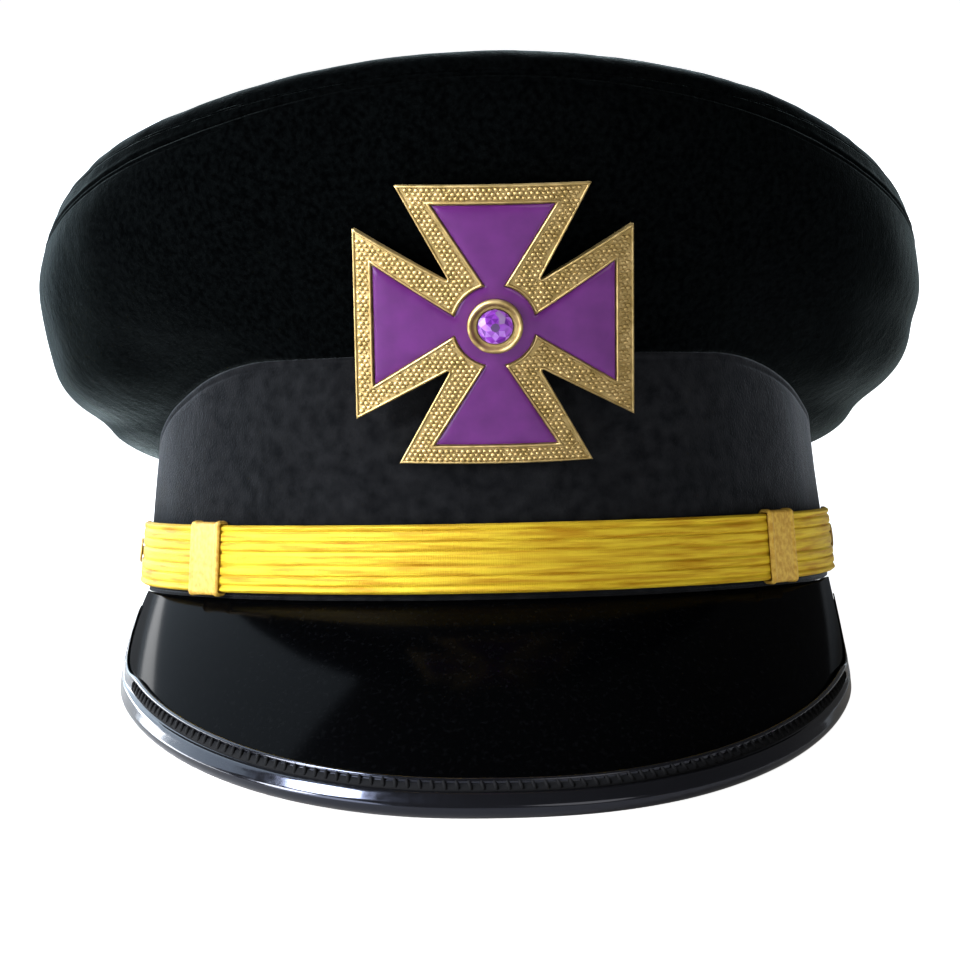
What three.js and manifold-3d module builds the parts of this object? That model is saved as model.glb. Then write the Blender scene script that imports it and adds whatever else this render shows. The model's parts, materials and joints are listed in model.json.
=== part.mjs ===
// A black peaked fatigue cap: a stiff cloth band, a wide cloth crown that flares out over it, a
// glossy peak with a bound edge, a gilt lace strap with two slides, and an enamelled cross badge.
// Units are millimetres. The front faces -Y, +X is the viewer's right, and +Z is up.
// The cap stands as it does on a table: on the tip of its peak and the back of its band.
import * as THREE from "three";
import { ConvexGeometry } from "three/addons/geometries/ConvexGeometry.js";
import { TessellateModifier } from "three/addons/modifiers/TessellateModifier.js";
import { mergeVertices } from "three/addons/utils/BufferGeometryUtils.js";
import Module from "manifold-3d";

const wasm = await Module();
wasm.setup();

const degrees = Math.PI / 180;
const { clamp, lerp, smoothstep } = THREE.MathUtils;

// The clear gap that is left between two pieces that touch on the real cap.
const GAP = 0.3;

// The head oval: the outside of the band at its lower edge, for a hat size of about 59 cm.
const HEAD_HALF_WIDTH = 89.7;
const HEAD_HALF_LENGTH = 105;
const OVAL_STEPS = 72;

// The band: stiffened cloth, tall in front of the cap and lower at the sides and the back.
const BAND_WALL = 2.6;
const BAND_FRONT_HEIGHT = 56.3;
const BAND_BACK_HEIGHT = 31;
const BAND_DROP_STARTS = 37 * degrees;
const BAND_DROP_ENDS = 108 * degrees;
const BAND_LEAN_FRONT = 0.03;
const BAND_LEAN_SIDE = 0.1;
const BAND_EDGE_ROUND = 0.7;

// The crown: one row for each quarter of the head. Out is measured from the head oval and up from
// the band's lower edge. The rim is the seam between the crown's side and its top. Flare says how
// the side leaves the band, and bulge how it comes up to the rim.
const CROWN_SHAPE = {
  front: { rimOut: 17, rimUp: 118.5, flareOut: 3, flareUp: 18, bulgeOut: 1.5, bulgeDown: 20 },
  side: { rimOut: 21.8, rimUp: 89.5, flareOut: 23.5, flareUp: 7.5, bulgeOut: 12.5, bulgeDown: 21 },
  back: { rimOut: 18, rimUp: 78, flareOut: 20, flareUp: 6, bulgeOut: 11, bulgeDown: 20 },
};
const CROWN_WALL = 2;
const CROWN_SIDE_STEPS = 7;
const CROWN_TURN_IN = 2.1;
const CROWN_ROLL_IN = 12;
const CROWN_ROLL_UP = 5.5;
const CROWN_ROLL_STEPS = 4;
const CROWN_SAG = 3;
const CROWN_TOP_RINGS = 3;

// The peak: a crescent of stiff patent leather under the front of the band.
const PEAK_WALL = 2.2;
const PEAK_HALF_WIDTH = 91.2;
const PEAK_CENTRE_Y = -14;
const PEAK_REACH = 138;
const PEAK_ROUNDNESS = 0.89;
const PEAK_DROP = 42.4;
const PEAK_EDGE_UP = 1.92;
const PEAK_SIDE_RISE = 1.8;
const PEAK_FLAT_SHARE = 0.15;
const PEAK_RISE_POWER = 1.4;
const PEAK_END = 79 * degrees;
const PEAK_EDGE_END = 87 * degrees;
const PEAK_CORNER = 14 * degrees;
const PEAK_CORNER_POWER = 2;
const PEAK_CAMBER = 2.2;
const PEAK_ROOT_IN = 0.8;
const PEAK_ROOT_DOWN = 1.15;
const PEAK_STEPS = 46;
const PEAK_SHARES = [0, 0.3, 0.6, 0.8, 0.92, 1];
const PEAK_LEAST = 0.06;

// The binding: a strip folded over the peak's outer edge.
const BINDING_WALL = 0.9;
const BINDING_TOP_LEG = 6.6;
const BINDING_UNDER_LEG = 5;
const BINDING_NOSE = 1.7;
const BINDING_OPENING = 0.1;
const BINDING_CORNER_LEG = 0.35;
const BINDING_STARTS = 0.3;

// The strap: flat gilt lace round the front of the band, from one side to the other.
const STRAP_WIDTH = 16;
const STRAP_WALL = 1.5;
const STRAP_LOWER_EDGE = 1.2;
const STRAP_END = 91 * degrees;
const STRAP_END_ROUND = 9 * degrees;
const STRAP_STEPS = 52;
const STRAP_BEVEL = 0.5;
const STRAP_GROOVE_DEPTH = 0.35;
const STRAP_GROOVE_HALF = 0.5;
const STRAP_GROOVES = [5.2, 10.8];
const STRAP_STANDOFF_FRONT = 0.35;
const STRAP_STANDOFF_SLIDE = 1.25;
const STRAP_STANDOFF_END = 0.5;

// The slides: flat loops that hold the strap's two layers together.
const SLIDE_WALL = 0.6;
const SLIDE_FROM = 45.7 * degrees;
const SLIDE_TO = 52.9 * degrees;
const SLIDE_STEPS = 4;
const SLIDE_ROUND = 0.9;

// The studs: plain flat rivets that hold the strap's ends to the band.
const STUD_ANGLE = 85 * degrees;
const STUD_HEAD_RADIUS = 3.2;
const STUD_HEAD_HEIGHT = 1;
const STUD_SHANK_RADIUS = 1.1;
const STUD_SIDES = 12;

// The badge: a cross with arms that widen outwards, in gilt metal with a coloured enamel field.
const BADGE_HALF_SIZE = 31.9;
const BADGE_ARM_HALF_END = 22;
const BADGE_NOTCH = 9.9;
const BADGE_NOTCH_ROUND = 1.6;
const BADGE_BASE = 1;
const BADGE_BORDER = 1;
const BADGE_BEND_RADIUS = 95;
const BADGE_MESH_EDGE = 9;
const BADGE_CENTRE_UP = 62.4;
const BADGE_LOWER_UP = 31.2;
const BADGE_STANDOFF = 0.5;
const BADGE_LEAN = 12.5 * degrees;
const ENAMEL_HALF_SIZE = 27.4;
const ENAMEL_ARM_HALF_END = 13.7;
const ENAMEL_NECK_HALF = 2.1;
const ENAMEL_DISC_RADIUS = 9.2;
const ENAMEL_WALL = 0.7;
const ENAMEL_CLEARANCE = 0.25;
const BEZEL_OUTER_RADIUS = 6.1;
const BEZEL_INNER_RADIUS = 4.3;
const BEZEL_HEIGHT = 2.9;
const BEZEL_FLOOR = 0.5;
const BEZEL_SIDES = 20;
const STONE_RADIUS = 4;
const STONE_FACETS = 8;
const POST_RADIUS = 2;
const POST_SIDES = 12;
const POST_LENGTH = 9.5;

// A value that is named at the front, the sides and the back varies smoothly round the head.
function harmonics(name) {
  const { front, side, back } = CROWN_SHAPE;
  return {
    mean: (front[name] + back[name]) / 4 + side[name] / 2,
    tilt: (front[name] - back[name]) / 2,
    saddle: (front[name] + back[name]) / 4 - side[name] / 2,
  };
}

function roundHead(name, angle) {
  const { mean, tilt, saddle } = harmonics(name);
  return mean + tilt * Math.cos(angle) + saddle * Math.cos(2 * angle);
}

// The angle runs round the head from 0 at the front, over +90 degrees at +X, to 180 at the back.
function pointAt(angle, out, up) {
  const sin = Math.sin(angle);
  const cos = Math.cos(angle);
  const normal = new THREE.Vector2(sin / HEAD_HALF_WIDTH, -cos / HEAD_HALF_LENGTH).normalize();
  return new THREE.Vector3(
    HEAD_HALF_WIDTH * sin + normal.x * out,
    -HEAD_HALF_LENGTH * cos + normal.y * out,
    up,
  );
}

function outwardAt(angle) {
  return pointAt(angle, 1, 0).sub(pointAt(angle, 0, 0));
}

// A closed geometry from rows of points. Each row is a closed loop, or an open line from pole to
// pole. The rows join into a ring, or the first and the last row are capped.
function loft(rows, { ring, loops }) {
  const corners = [];
  const addFace = (a, b, c) => {
    const small = 1e-6;
    if (a.distanceTo(b) < small || b.distanceTo(c) < small || c.distanceTo(a) < small) return;
    corners.push(a, b, c);
  };
  const lastRow = ring ? rows.length : rows.length - 1;
  for (let i = 0; i < lastRow; i++) {
    const here = rows[i];
    const next = rows[(i + 1) % rows.length];
    const lastPoint = loops ? here.length : here.length - 1;
    for (let j = 0; j < lastPoint; j++) {
      const k = (j + 1) % here.length;
      addFace(here[j], next[j], next[k]);
      addFace(here[j], next[k], here[k]);
    }
  }
  if (!ring) {
    const first = rows[0];
    const last = rows[rows.length - 1];
    for (let j = 1; j < first.length - 1; j++) {
      addFace(first[0], first[j], first[j + 1]);
      addFace(last[0], last[j + 1], last[j]);
    }
  }
  return facingOut(new THREE.BufferGeometry().setFromPoints(corners));
}

// The same triangles, turned round if they enclose a negative volume.
function facingOut(geometry) {
  const position = geometry.getAttribute("position");
  const [a, b, c] = [new THREE.Vector3(), new THREE.Vector3(), new THREE.Vector3()];
  let volume = 0;
  for (let i = 0; i < position.count; i += 3) {
    a.fromBufferAttribute(position, i);
    b.fromBufferAttribute(position, i + 1);
    c.fromBufferAttribute(position, i + 2);
    volume += a.dot(b.cross(c));
  }
  if (volume < 0) {
    for (let i = 0; i < position.count; i += 3) {
      b.fromBufferAttribute(position, i + 1);
      c.fromBufferAttribute(position, i + 2);
      position.setXYZ(i + 1, c.x, c.y, c.z);
      position.setXYZ(i + 2, b.x, b.y, b.z);
    }
  }
  return geometry;
}

function toSolid(geometry) {
  const bare = geometry.index ? geometry.toNonIndexed() : geometry.clone();
  bare.deleteAttribute("normal");
  bare.deleteAttribute("uv");
  const merged = mergeVertices(bare, 1e-4);
  return new wasm.Manifold(
    new wasm.Mesh({
      numProp: 3,
      vertProperties: merged.getAttribute("position").array,
      triVerts: new Uint32Array(merged.index.array),
    }),
  );
}

function toGeometry(solid) {
  const mesh = solid.getMesh();
  const geometry = new THREE.BufferGeometry();
  geometry.setAttribute("position", new THREE.BufferAttribute(mesh.vertProperties, 3));
  geometry.setIndex(new THREE.BufferAttribute(mesh.triVerts, 1));
  return geometry.toNonIndexed();
}

const ovalAngles = Array.from({ length: OVAL_STEPS }, (_, i) => ((i + 0.5) * 360 * degrees) / OVAL_STEPS);

// Band
function bandHeight(angle) {
  const fromFront = Math.acos(Math.cos(angle));
  const drop = smoothstep(fromFront, BAND_DROP_STARTS, BAND_DROP_ENDS);
  return lerp(BAND_FRONT_HEIGHT, BAND_BACK_HEIGHT, drop);
}

function bandOut(angle, up) {
  const lean = lerp(BAND_LEAN_FRONT, BAND_LEAN_SIDE, Math.sin(angle) ** 2);
  return -lean * up;
}

function bandGeometry() {
  const rows = ovalAngles.map((angle) => {
    const top = bandHeight(angle);
    const outTop = bandOut(angle, top);
    return [
      pointAt(angle, 0, 0),
      pointAt(angle, outTop, top - BAND_EDGE_ROUND),
      pointAt(angle, outTop - BAND_EDGE_ROUND, top),
      pointAt(angle, outTop - BAND_WALL, top),
      pointAt(angle, -BAND_WALL, 0),
    ];
  });
  return loft(rows, { ring: true, loops: true });
}

// Crown
function crownSideCurve(angle) {
  const up = bandHeight(angle) + GAP;
  const out = bandOut(angle, up) - GAP;
  const rimOut = roundHead("rimOut", angle);
  const rimUp = roundHead("rimUp", angle);
  return new THREE.CubicBezierCurve(
    new THREE.Vector2(out, up),
    new THREE.Vector2(out + roundHead("flareOut", angle), up + roundHead("flareUp", angle)),
    new THREE.Vector2(rimOut + roundHead("bulgeOut", angle), rimUp - roundHead("bulgeDown", angle)),
    new THREE.Vector2(rimOut, rimUp),
  );
}

// The point on the wall's other face: across the curve, on its left as it runs.
function acrossWall(curve, share, wall) {
  const tangent = curve.getTangent(share);
  return curve.getPoint(share).add(new THREE.Vector2(-tangent.y, tangent.x).multiplyScalar(wall));
}

function crownSideGeometry() {
  const rows = ovalAngles.map((angle) => {
    const curve = crownSideCurve(angle);
    const shares = Array.from({ length: CROWN_SIDE_STEPS + 1 }, (_, i) => i / CROWN_SIDE_STEPS);
    const outer = shares.map((share) => curve.getPoint(share));
    const inner = shares.slice(1).map((share) => acrossWall(curve, share, CROWN_WALL));
    const turnIn = outer[0].clone().add(new THREE.Vector2(-CROWN_TURN_IN, 0));
    const turnUp = turnIn.clone().add(new THREE.Vector2(0, CROWN_WALL));
    return [turnIn, ...outer, ...inner.reverse(), turnUp].map((p) => pointAt(angle, p.x, p.y));
  });
  return loft(rows, { ring: true, loops: true });
}

// The cloth of the top rolls over the rim: it carries on from the side and levels out.
function crownRollCurve(angle) {
  const side = crownSideCurve(angle);
  const along = side.getTangent(1);
  const start = side.getPoint(1).addScaledVector(along, GAP);
  const levelAt = start.clone().addScaledVector(along, CROWN_ROLL_UP / along.y);
  const end = new THREE.Vector2(start.x - CROWN_ROLL_IN, start.y + CROWN_ROLL_UP);
  return new THREE.QuadraticBezierCurve(start, levelAt, end);
}

function crownTopGeometry() {
  const { mean, tilt, saddle } = harmonics("rimUp");
  const front = pointAt(0, crownRollCurve(0).getPoint(1).x, 0);
  const back = pointAt(Math.PI, crownRollCurve(Math.PI).getPoint(1).x, 0);
  const centre = front.clone().lerp(back, 0.5);
  const rows = ovalAngles.map((angle) => {
    const roll = crownRollCurve(angle);
    const shares = Array.from({ length: CROWN_ROLL_STEPS + 1 }, (_, i) => i / CROWN_ROLL_STEPS);
    const onRoll = (p) => pointAt(angle, p.x, p.y);
    const outer = shares.map((share) => onRoll(roll.getPoint(share)));
    const inner = shares.map((share) => onRoll(acrossWall(roll, share, CROWN_WALL)));
    const edge = outer[CROWN_ROLL_STEPS];
    const levelEdge = mean + tilt * Math.cos(angle) + saddle * Math.cos(2 * angle);
    const flat = Array.from({ length: CROWN_TOP_RINGS }, (_, i) => {
      const reach = 1 - (i + 1) / CROWN_TOP_RINGS;
      const level = mean + tilt * reach * Math.cos(angle) + saddle * reach ** 2 * Math.cos(2 * angle);
      const point = centre.clone().lerp(edge, reach);
      point.z = edge.z - levelEdge + level - CROWN_SAG * (1 - reach ** 2);
      return point;
    });
    flat[CROWN_TOP_RINGS - 1].z = mean + CROWN_ROLL_UP + GAP - CROWN_SAG;
    const under = flat.map((p) => p.clone().setZ(p.z - CROWN_WALL));
    return [...outer, ...flat, ...under.reverse(), ...inner.reverse()];
  });
  return loft(rows, { ring: true, loops: true });
}

// Peak
const bindingHalf = PEAK_WALL / 2 + GAP + BINDING_WALL;
const tipY = PEAK_CENTRE_Y - PEAK_REACH;
const restSlope = (PEAK_DROP + PEAK_EDGE_UP) / (HEAD_HALF_LENGTH - tipY);

// The table's height under the cap, before the cap is tipped back on to its peak. The middle of
// the peak's edge stands above it by PEAK_EDGE_UP, which is the binding's reach below it there.
function tableUp(y) {
  return -(HEAD_HALF_LENGTH - y) * restSlope;
}

// The outer edge of the peak: a full oval in plan that lies along the table at the tip and rises
// a little towards the corners.
function peakEdge(edgeAngle) {
  const sin = Math.sin(edgeAngle);
  const x = PEAK_HALF_WIDTH * Math.sign(sin) * Math.abs(sin) ** PEAK_ROUNDNESS;
  const y = PEAK_CENTRE_Y - PEAK_REACH * Math.cos(edgeAngle) ** PEAK_ROUNDNESS;
  const beyond = Math.max(0, Math.abs(sin) - PEAK_FLAT_SHARE) / (1 - PEAK_FLAT_SHARE);
  const rise = PEAK_SIDE_RISE * beyond ** PEAK_RISE_POWER;
  return new THREE.Vector3(x, y, tableUp(y) + PEAK_EDGE_UP + rise);
}

// The middle of the peak's wall. Share runs from 0 at the band to 1 at the outer edge.
function peakFlat(angle, share) {
  const root = pointAt(angle, -PEAK_ROOT_IN, -PEAK_ROOT_DOWN);
  return root.lerp(peakEdge((angle * PEAK_EDGE_END) / PEAK_END), share);
}

function normalOf(surface, angle, share) {
  const step = 1e-3;
  const along = surface(angle + step, share).sub(surface(angle - step, share));
  const across = surface(angle, share + step).sub(surface(angle, share - step));
  return across.cross(along).normalize();
}

function peakMiddle(angle, share) {
  const crown = PEAK_CAMBER * 4 * share * (1 - share) * Math.cos(angle);
  return peakFlat(angle, share).addScaledVector(normalOf(peakFlat, angle, share), crown);
}

// How far the peak reaches at an angle: all the way, apart from its rounded corners.
function peakReach(angle) {
  const fromEnd = Math.abs(angle) - (PEAK_END - PEAK_CORNER);
  if (fromEnd <= 0) return 1;
  const round = 1 - (fromEnd / PEAK_CORNER) ** PEAK_CORNER_POWER;
  return Math.max(round, 0) ** (1 / PEAK_CORNER_POWER);
}

const peakAngles = Array.from({ length: PEAK_STEPS + 1 }, (_, i) =>
  PEAK_END * Math.sin((90 * degrees * (2 * i - PEAK_STEPS)) / PEAK_STEPS),
);

function peakGeometry() {
  const rows = peakAngles.map((angle) => {
    const reach = Math.max(peakReach(angle), PEAK_LEAST);
    const face = (side) =>
      PEAK_SHARES.map((share) => {
        const normal = normalOf(peakMiddle, angle, reach * share);
        return peakMiddle(angle, reach * share).addScaledVector(normal, (side * PEAK_WALL) / 2);
      });
    return [...face(1), ...face(-1).reverse()];
  });
  return loft(rows, { ring: false, loops: true });
}

// Binding: a U-shaped section, in steps away from the peak's edge and up from its middle. Its two
// lips open a little towards their ends.
const bindingSection = (() => {
  const slot = PEAK_WALL / 2 + GAP;
  const half = bindingHalf;
  return [
    { away: -BINDING_TOP_LEG, up: slot + BINDING_OPENING },
    { away: GAP, up: slot },
    { away: GAP, up: -slot },
    { away: -BINDING_UNDER_LEG, up: -slot - BINDING_OPENING },
    { away: -BINDING_UNDER_LEG, up: -half },
    { away: 0, up: -half },
    { away: BINDING_NOSE * 0.75, up: -half * 0.6 },
    { away: BINDING_NOSE, up: 0 },
    { away: BINDING_NOSE * 0.75, up: half * 0.6 },
    { away: 0, up: half },
    { away: 0.4 - BINDING_TOP_LEG, up: half },
    { away: -BINDING_TOP_LEG, up: half - 0.3 },
  ];
})();

// Each row of the binding halves the bend between the peak's two edge lines that meet there.
function bindingGeometry() {
  const rim = peakAngles.map((angle) => peakMiddle(angle, peakReach(angle)));
  const rows = peakAngles.flatMap((angle, i) => {
    if (peakReach(angle) < BINDING_STARTS) return [];
    const before = rim[i].clone().sub(rim[i - 1]).normalize();
    const after = rim[i + 1].clone().sub(rim[i]).normalize();
    const along = before.clone().add(after).normalize();
    const stretch = 1 / along.dot(before);
    const away = along.clone().cross(normalOf(peakMiddle, angle, peakReach(angle))).normalize();
    const up = away.clone().cross(along);
    const cornerTurn = smoothstep(Math.abs(angle), PEAK_END - 1.3 * PEAK_CORNER, PEAK_END - 0.3 * PEAK_CORNER);
    const leg = lerp(1, BINDING_CORNER_LEG, cornerTurn);
    const place = (p) =>
      rim[i]
        .clone()
        .addScaledVector(away, (p.away < 0 ? p.away * leg : p.away) * stretch)
        .addScaledVector(up, p.up);
    return [bindingSection.map(place)];
  });
  return loft(rows, { ring: false, loops: true });
}

// Strap
function strapStandoff(angle) {
  const side = Math.abs(angle);
  const toSlide = smoothstep(side, 30 * degrees, SLIDE_FROM);
  const toEnd = smoothstep(side, 68 * degrees, 83 * degrees);
  return lerp(
    lerp(STRAP_STANDOFF_FRONT, STRAP_STANDOFF_SLIDE, toSlide),
    STRAP_STANDOFF_END,
    toEnd,
  );
}

// The strap's section: across is the depth from its inner face, and up runs over its width.
function strapSection() {
  const front = STRAP_GROOVES.flatMap((groove) => [
    { across: STRAP_WALL, up: groove - STRAP_GROOVE_HALF },
    { across: STRAP_WALL - STRAP_GROOVE_DEPTH, up: groove },
    { across: STRAP_WALL, up: groove + STRAP_GROOVE_HALF },
  ]);
  return [
    { across: 0, up: 0 },
    { across: STRAP_WALL - STRAP_BEVEL, up: 0 },
    { across: STRAP_WALL, up: STRAP_BEVEL },
    ...front,
    { across: STRAP_WALL, up: STRAP_WIDTH - STRAP_BEVEL },
    { across: STRAP_WALL - STRAP_BEVEL, up: STRAP_WIDTH },
    { across: 0, up: STRAP_WIDTH },
  ];
}

const strapMiddleUp = STRAP_LOWER_EDGE + STRAP_WIDTH / 2;

function strapPoint(angle, across, up) {
  return pointAt(angle, bandOut(angle, up) + strapStandoff(angle) + across, up);
}

function strapGeometry() {
  const section = strapSection();
  const angles = Array.from({ length: STRAP_STEPS + 1 }, (_, i) =>
    STRAP_END * Math.sin((70 * degrees * (2 * i - STRAP_STEPS)) / STRAP_STEPS) / Math.sin(70 * degrees),
  );
  const rows = angles.map((angle) => {
    const past = Math.max(0, Math.abs(angle) - (STRAP_END - STRAP_END_ROUND)) / STRAP_END_ROUND;
    const width = Math.max(Math.sqrt(1 - past ** 2), 0.2);
    return section.map((p) =>
      strapPoint(angle, p.across, strapMiddleUp + (p.up - STRAP_WIDTH / 2) * width),
    );
  });
  return loft(rows, { ring: false, loops: true });
}

// Slides: each is a flat tube round the strap, built as a ring of lengthwise strips.
function slideGeometry(side) {
  const loopOf = (margin) => {
    const low = STRAP_LOWER_EDGE - margin;
    const high = STRAP_LOWER_EDGE + STRAP_WIDTH + margin;
    const inside = -margin;
    const outside = STRAP_WALL + margin;
    const cut = Math.min(SLIDE_ROUND, margin);
    return [
      { across: inside, up: low },
      { across: outside - cut, up: low },
      { across: outside, up: low + cut },
      { across: outside, up: strapMiddleUp },
      { across: outside, up: high - cut },
      { across: outside - cut, up: high },
      { across: inside, up: high },
      { across: inside, up: strapMiddleUp },
    ];
  };
  const innerLoop = loopOf(GAP);
  const outerLoop = loopOf(GAP + SLIDE_WALL);
  const angles = Array.from({ length: SLIDE_STEPS + 1 }, (_, i) =>
    side * lerp(SLIDE_FROM, SLIDE_TO, i / SLIDE_STEPS),
  );
  const rows = outerLoop.map((outer, i) => {
    const inner = innerLoop[i];
    return [
      ...angles.map((angle) => strapPoint(angle, outer.across, outer.up)),
      ...angles.map((angle) => strapPoint(angle, inner.across, inner.up)).reverse(),
    ];
  });
  return loft(rows, { ring: true, loops: true });
}

// Studs: turned about Z here, and later set with Z pointing out of the band.
const studHeadAt = STRAP_STANDOFF_END + STRAP_WALL + GAP;

function studGeometry() {
  const profile = [
    new THREE.Vector2(0, -BAND_WALL),
    new THREE.Vector2(STUD_SHANK_RADIUS, -BAND_WALL),
    new THREE.Vector2(STUD_SHANK_RADIUS, studHeadAt),
    new THREE.Vector2(STUD_HEAD_RADIUS, studHeadAt),
    new THREE.Vector2(STUD_HEAD_RADIUS, studHeadAt + STUD_HEAD_HEIGHT / 2),
    new THREE.Vector2(STUD_HEAD_RADIUS * 0.7, studHeadAt + STUD_HEAD_HEIGHT),
    new THREE.Vector2(0, studHeadAt + STUD_HEAD_HEIGHT),
  ];
  return new THREE.LatheGeometry(profile, STUD_SIDES).rotateX(90 * degrees);
}

function studPlace(side) {
  const angle = side * STUD_ANGLE;
  const out = outwardAt(angle);
  const slope = bandOut(angle, 1);
  const axis = new THREE.Vector3(out.x, out.y, -slope).normalize();
  const turn = new THREE.Quaternion().setFromUnitVectors(new THREE.Vector3(0, 0, 1), axis);
  const place = pointAt(angle, bandOut(angle, strapMiddleUp), strapMiddleUp);
  return new THREE.Matrix4().compose(place, turn, new THREE.Vector3(1, 1, 1));
}

// The same solid with a round hole along each place's Z axis.
function drilled(geometry, { radius, reach, sides, places }) {
  const hole = new THREE.CylinderGeometry(radius, radius, 2 * reach, sides).rotateX(90 * degrees);
  let solid = toSolid(geometry);
  for (const place of places) {
    solid = solid.subtract(toSolid(hole.clone().applyMatrix4(place)));
  }
  return toGeometry(solid);
}

function withStudHoles(geometry) {
  return drilled(geometry, {
    radius: STUD_SHANK_RADIUS + GAP,
    reach: 2 * (BAND_WALL + STRAP_WALL),
    sides: STUD_SIDES,
    places: [studPlace(-1), studPlace(1)],
  });
}

// Badge: it leans forward with the crown, and its lower edge stands just off the band.
const badge = new THREE.Group();
const badgeLowerOut = bandOut(0, BADGE_LOWER_UP) + BADGE_STANDOFF;
const badgeOut = badgeLowerOut + (BADGE_CENTRE_UP - BADGE_LOWER_UP) * Math.tan(BADGE_LEAN);
badge.position.copy(pointAt(0, badgeOut, BADGE_CENTRE_UP));
badge.rotation.x = 90 * degrees + BADGE_LEAN;
badge.updateMatrix();

function withPostHole(geometry) {
  return drilled(geometry, {
    radius: POST_RADIUS + GAP,
    reach: 2 * POST_LENGTH,
    sides: POST_SIDES,
    places: [badge.matrix.clone()],
  });
}

// The badge's outlines are drawn flat about its centre, with Z out of its face, and then bent.
function onEachArm(points) {
  return [0, 1, 2, 3].flatMap((arm) =>
    points.map((p) => p.clone().rotateAround(new THREE.Vector2(), -arm * 90 * degrees)),
  );
}

function crossOutline() {
  const corner = new THREE.Vector2(BADGE_ARM_HALF_END, BADGE_HALF_SIZE);
  const notch = new THREE.Vector2(BADGE_NOTCH, BADGE_NOTCH);
  const nextCorner = new THREE.Vector2(BADGE_HALF_SIZE, BADGE_ARM_HALF_END);
  const into = corner.clone().sub(notch).setLength(BADGE_NOTCH_ROUND);
  const outOf = nextCorner.clone().sub(notch).setLength(BADGE_NOTCH_ROUND);
  return onEachArm([
    corner.clone().setX(-corner.x),
    corner,
    notch.clone().add(into),
    notch.clone().addScaledVector(into, 0.35).addScaledVector(outOf, 0.35),
    notch.clone().add(outOf),
  ]);
}

function enamelOutline(clearance) {
  const half = ENAMEL_ARM_HALF_END + clearance * 1.6;
  const end = ENAMEL_HALF_SIZE + clearance;
  const radius = ENAMEL_DISC_RADIUS + clearance;
  const neckAngle = Math.acos((ENAMEL_NECK_HALF + clearance) / radius);
  const arc = [0, 1, 2, 3].map((i) => {
    const angle = lerp(neckAngle, 90 * degrees - neckAngle, i / 3);
    return new THREE.Vector2(radius * Math.cos(angle), radius * Math.sin(angle));
  });
  return onEachArm([new THREE.Vector2(-half, end), new THREE.Vector2(half, end), ...arc]);
}

function plate(outline, from, to) {
  const shape = new THREE.Shape(outline);
  const depth = to - from;
  return new THREE.ExtrudeGeometry(shape, { depth, bevelEnabled: false }).translate(0, 0, from);
}

function turned(profile, sides) {
  const points = profile.map(([radius, up]) => new THREE.Vector2(radius, up));
  return facingOut(new THREE.LatheGeometry(points, sides).rotateX(90 * degrees).toNonIndexed());
}

function bent(geometry) {
  const finer = new TessellateModifier(BADGE_MESH_EDGE, 8).modify(geometry);
  const position = finer.getAttribute("position");
  for (let i = 0; i < position.count; i++) {
    const radius = BADGE_BEND_RADIUS + position.getZ(i);
    const turn = position.getX(i) / BADGE_BEND_RADIUS;
    const sunk = radius * Math.cos(turn) - BADGE_BEND_RADIUS;
    position.setXYZ(i, radius * Math.sin(turn), position.getY(i), sunk);
  }
  return finer;
}

const badgeTop = BADGE_BASE + BADGE_BORDER;

function badgePlateGeometry() {
  const pocket = plate(enamelOutline(ENAMEL_CLEARANCE), BADGE_BASE, badgeTop + 1);
  const floorUp = BADGE_BASE + BEZEL_FLOOR;
  const bezel = [
    [0, BADGE_BASE / 2],
    [BEZEL_OUTER_RADIUS, BADGE_BASE / 2],
    [BEZEL_OUTER_RADIUS, BADGE_BASE + BEZEL_HEIGHT * 0.7],
    [BEZEL_OUTER_RADIUS - 0.7, BADGE_BASE + BEZEL_HEIGHT],
    [BEZEL_INNER_RADIUS + 0.3, BADGE_BASE + BEZEL_HEIGHT],
    [BEZEL_INNER_RADIUS, BADGE_BASE + BEZEL_HEIGHT * 0.8],
    [BEZEL_INNER_RADIUS, floorUp],
    [0, floorUp],
  ];
  const post = [
    [0, -POST_LENGTH],
    [POST_RADIUS, -POST_LENGTH],
    [POST_RADIUS, BADGE_BASE / 2],
    [0, BADGE_BASE / 2],
  ];
  return bent(
    toGeometry(
      toSolid(plate(crossOutline(), 0, badgeTop))
        .subtract(toSolid(pocket))
        .add(toSolid(turned(bezel, BEZEL_SIDES)))
        .add(toSolid(turned(post, POST_SIDES))),
    ),
  );
}

function enamelGeometry() {
  const low = BADGE_BASE + ENAMEL_CLEARANCE;
  const field = plate(enamelOutline(0), low, low + ENAMEL_WALL);
  const radius = BEZEL_OUTER_RADIUS + GAP;
  const hole = new THREE.CylinderGeometry(radius, radius, 10, BEZEL_SIDES).rotateX(90 * degrees);
  return bent(toGeometry(toSolid(field).subtract(toSolid(hole))));
}

// The stone: a flat table, a ring of main facets, a ring of girdle facets and a flat back.
function stoneGeometry() {
  const low = BADGE_BASE + BEZEL_FLOOR + GAP;
  const rings = [
    { radius: 0.55, up: 2.6, turn: 0.5, count: STONE_FACETS },
    { radius: 0.8, up: 2.15, turn: 0, count: STONE_FACETS },
    { radius: 1, up: 1.5, turn: 0, count: 2 * STONE_FACETS },
    { radius: 1, up: 1.1, turn: 0, count: 2 * STONE_FACETS },
    { radius: 0.55, up: 0, turn: 0, count: STONE_FACETS },
  ];
  const points = rings.flatMap(({ radius, up, turn, count }) =>
    Array.from({ length: count }, (_, i) => {
      const angle = ((i + turn) * 360 * degrees) / count;
      const reach = STONE_RADIUS * radius;
      return new THREE.Vector3(reach * Math.cos(angle), reach * Math.sin(angle), low + up);
    }),
  );
  return new ConvexGeometry(points);
}

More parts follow.
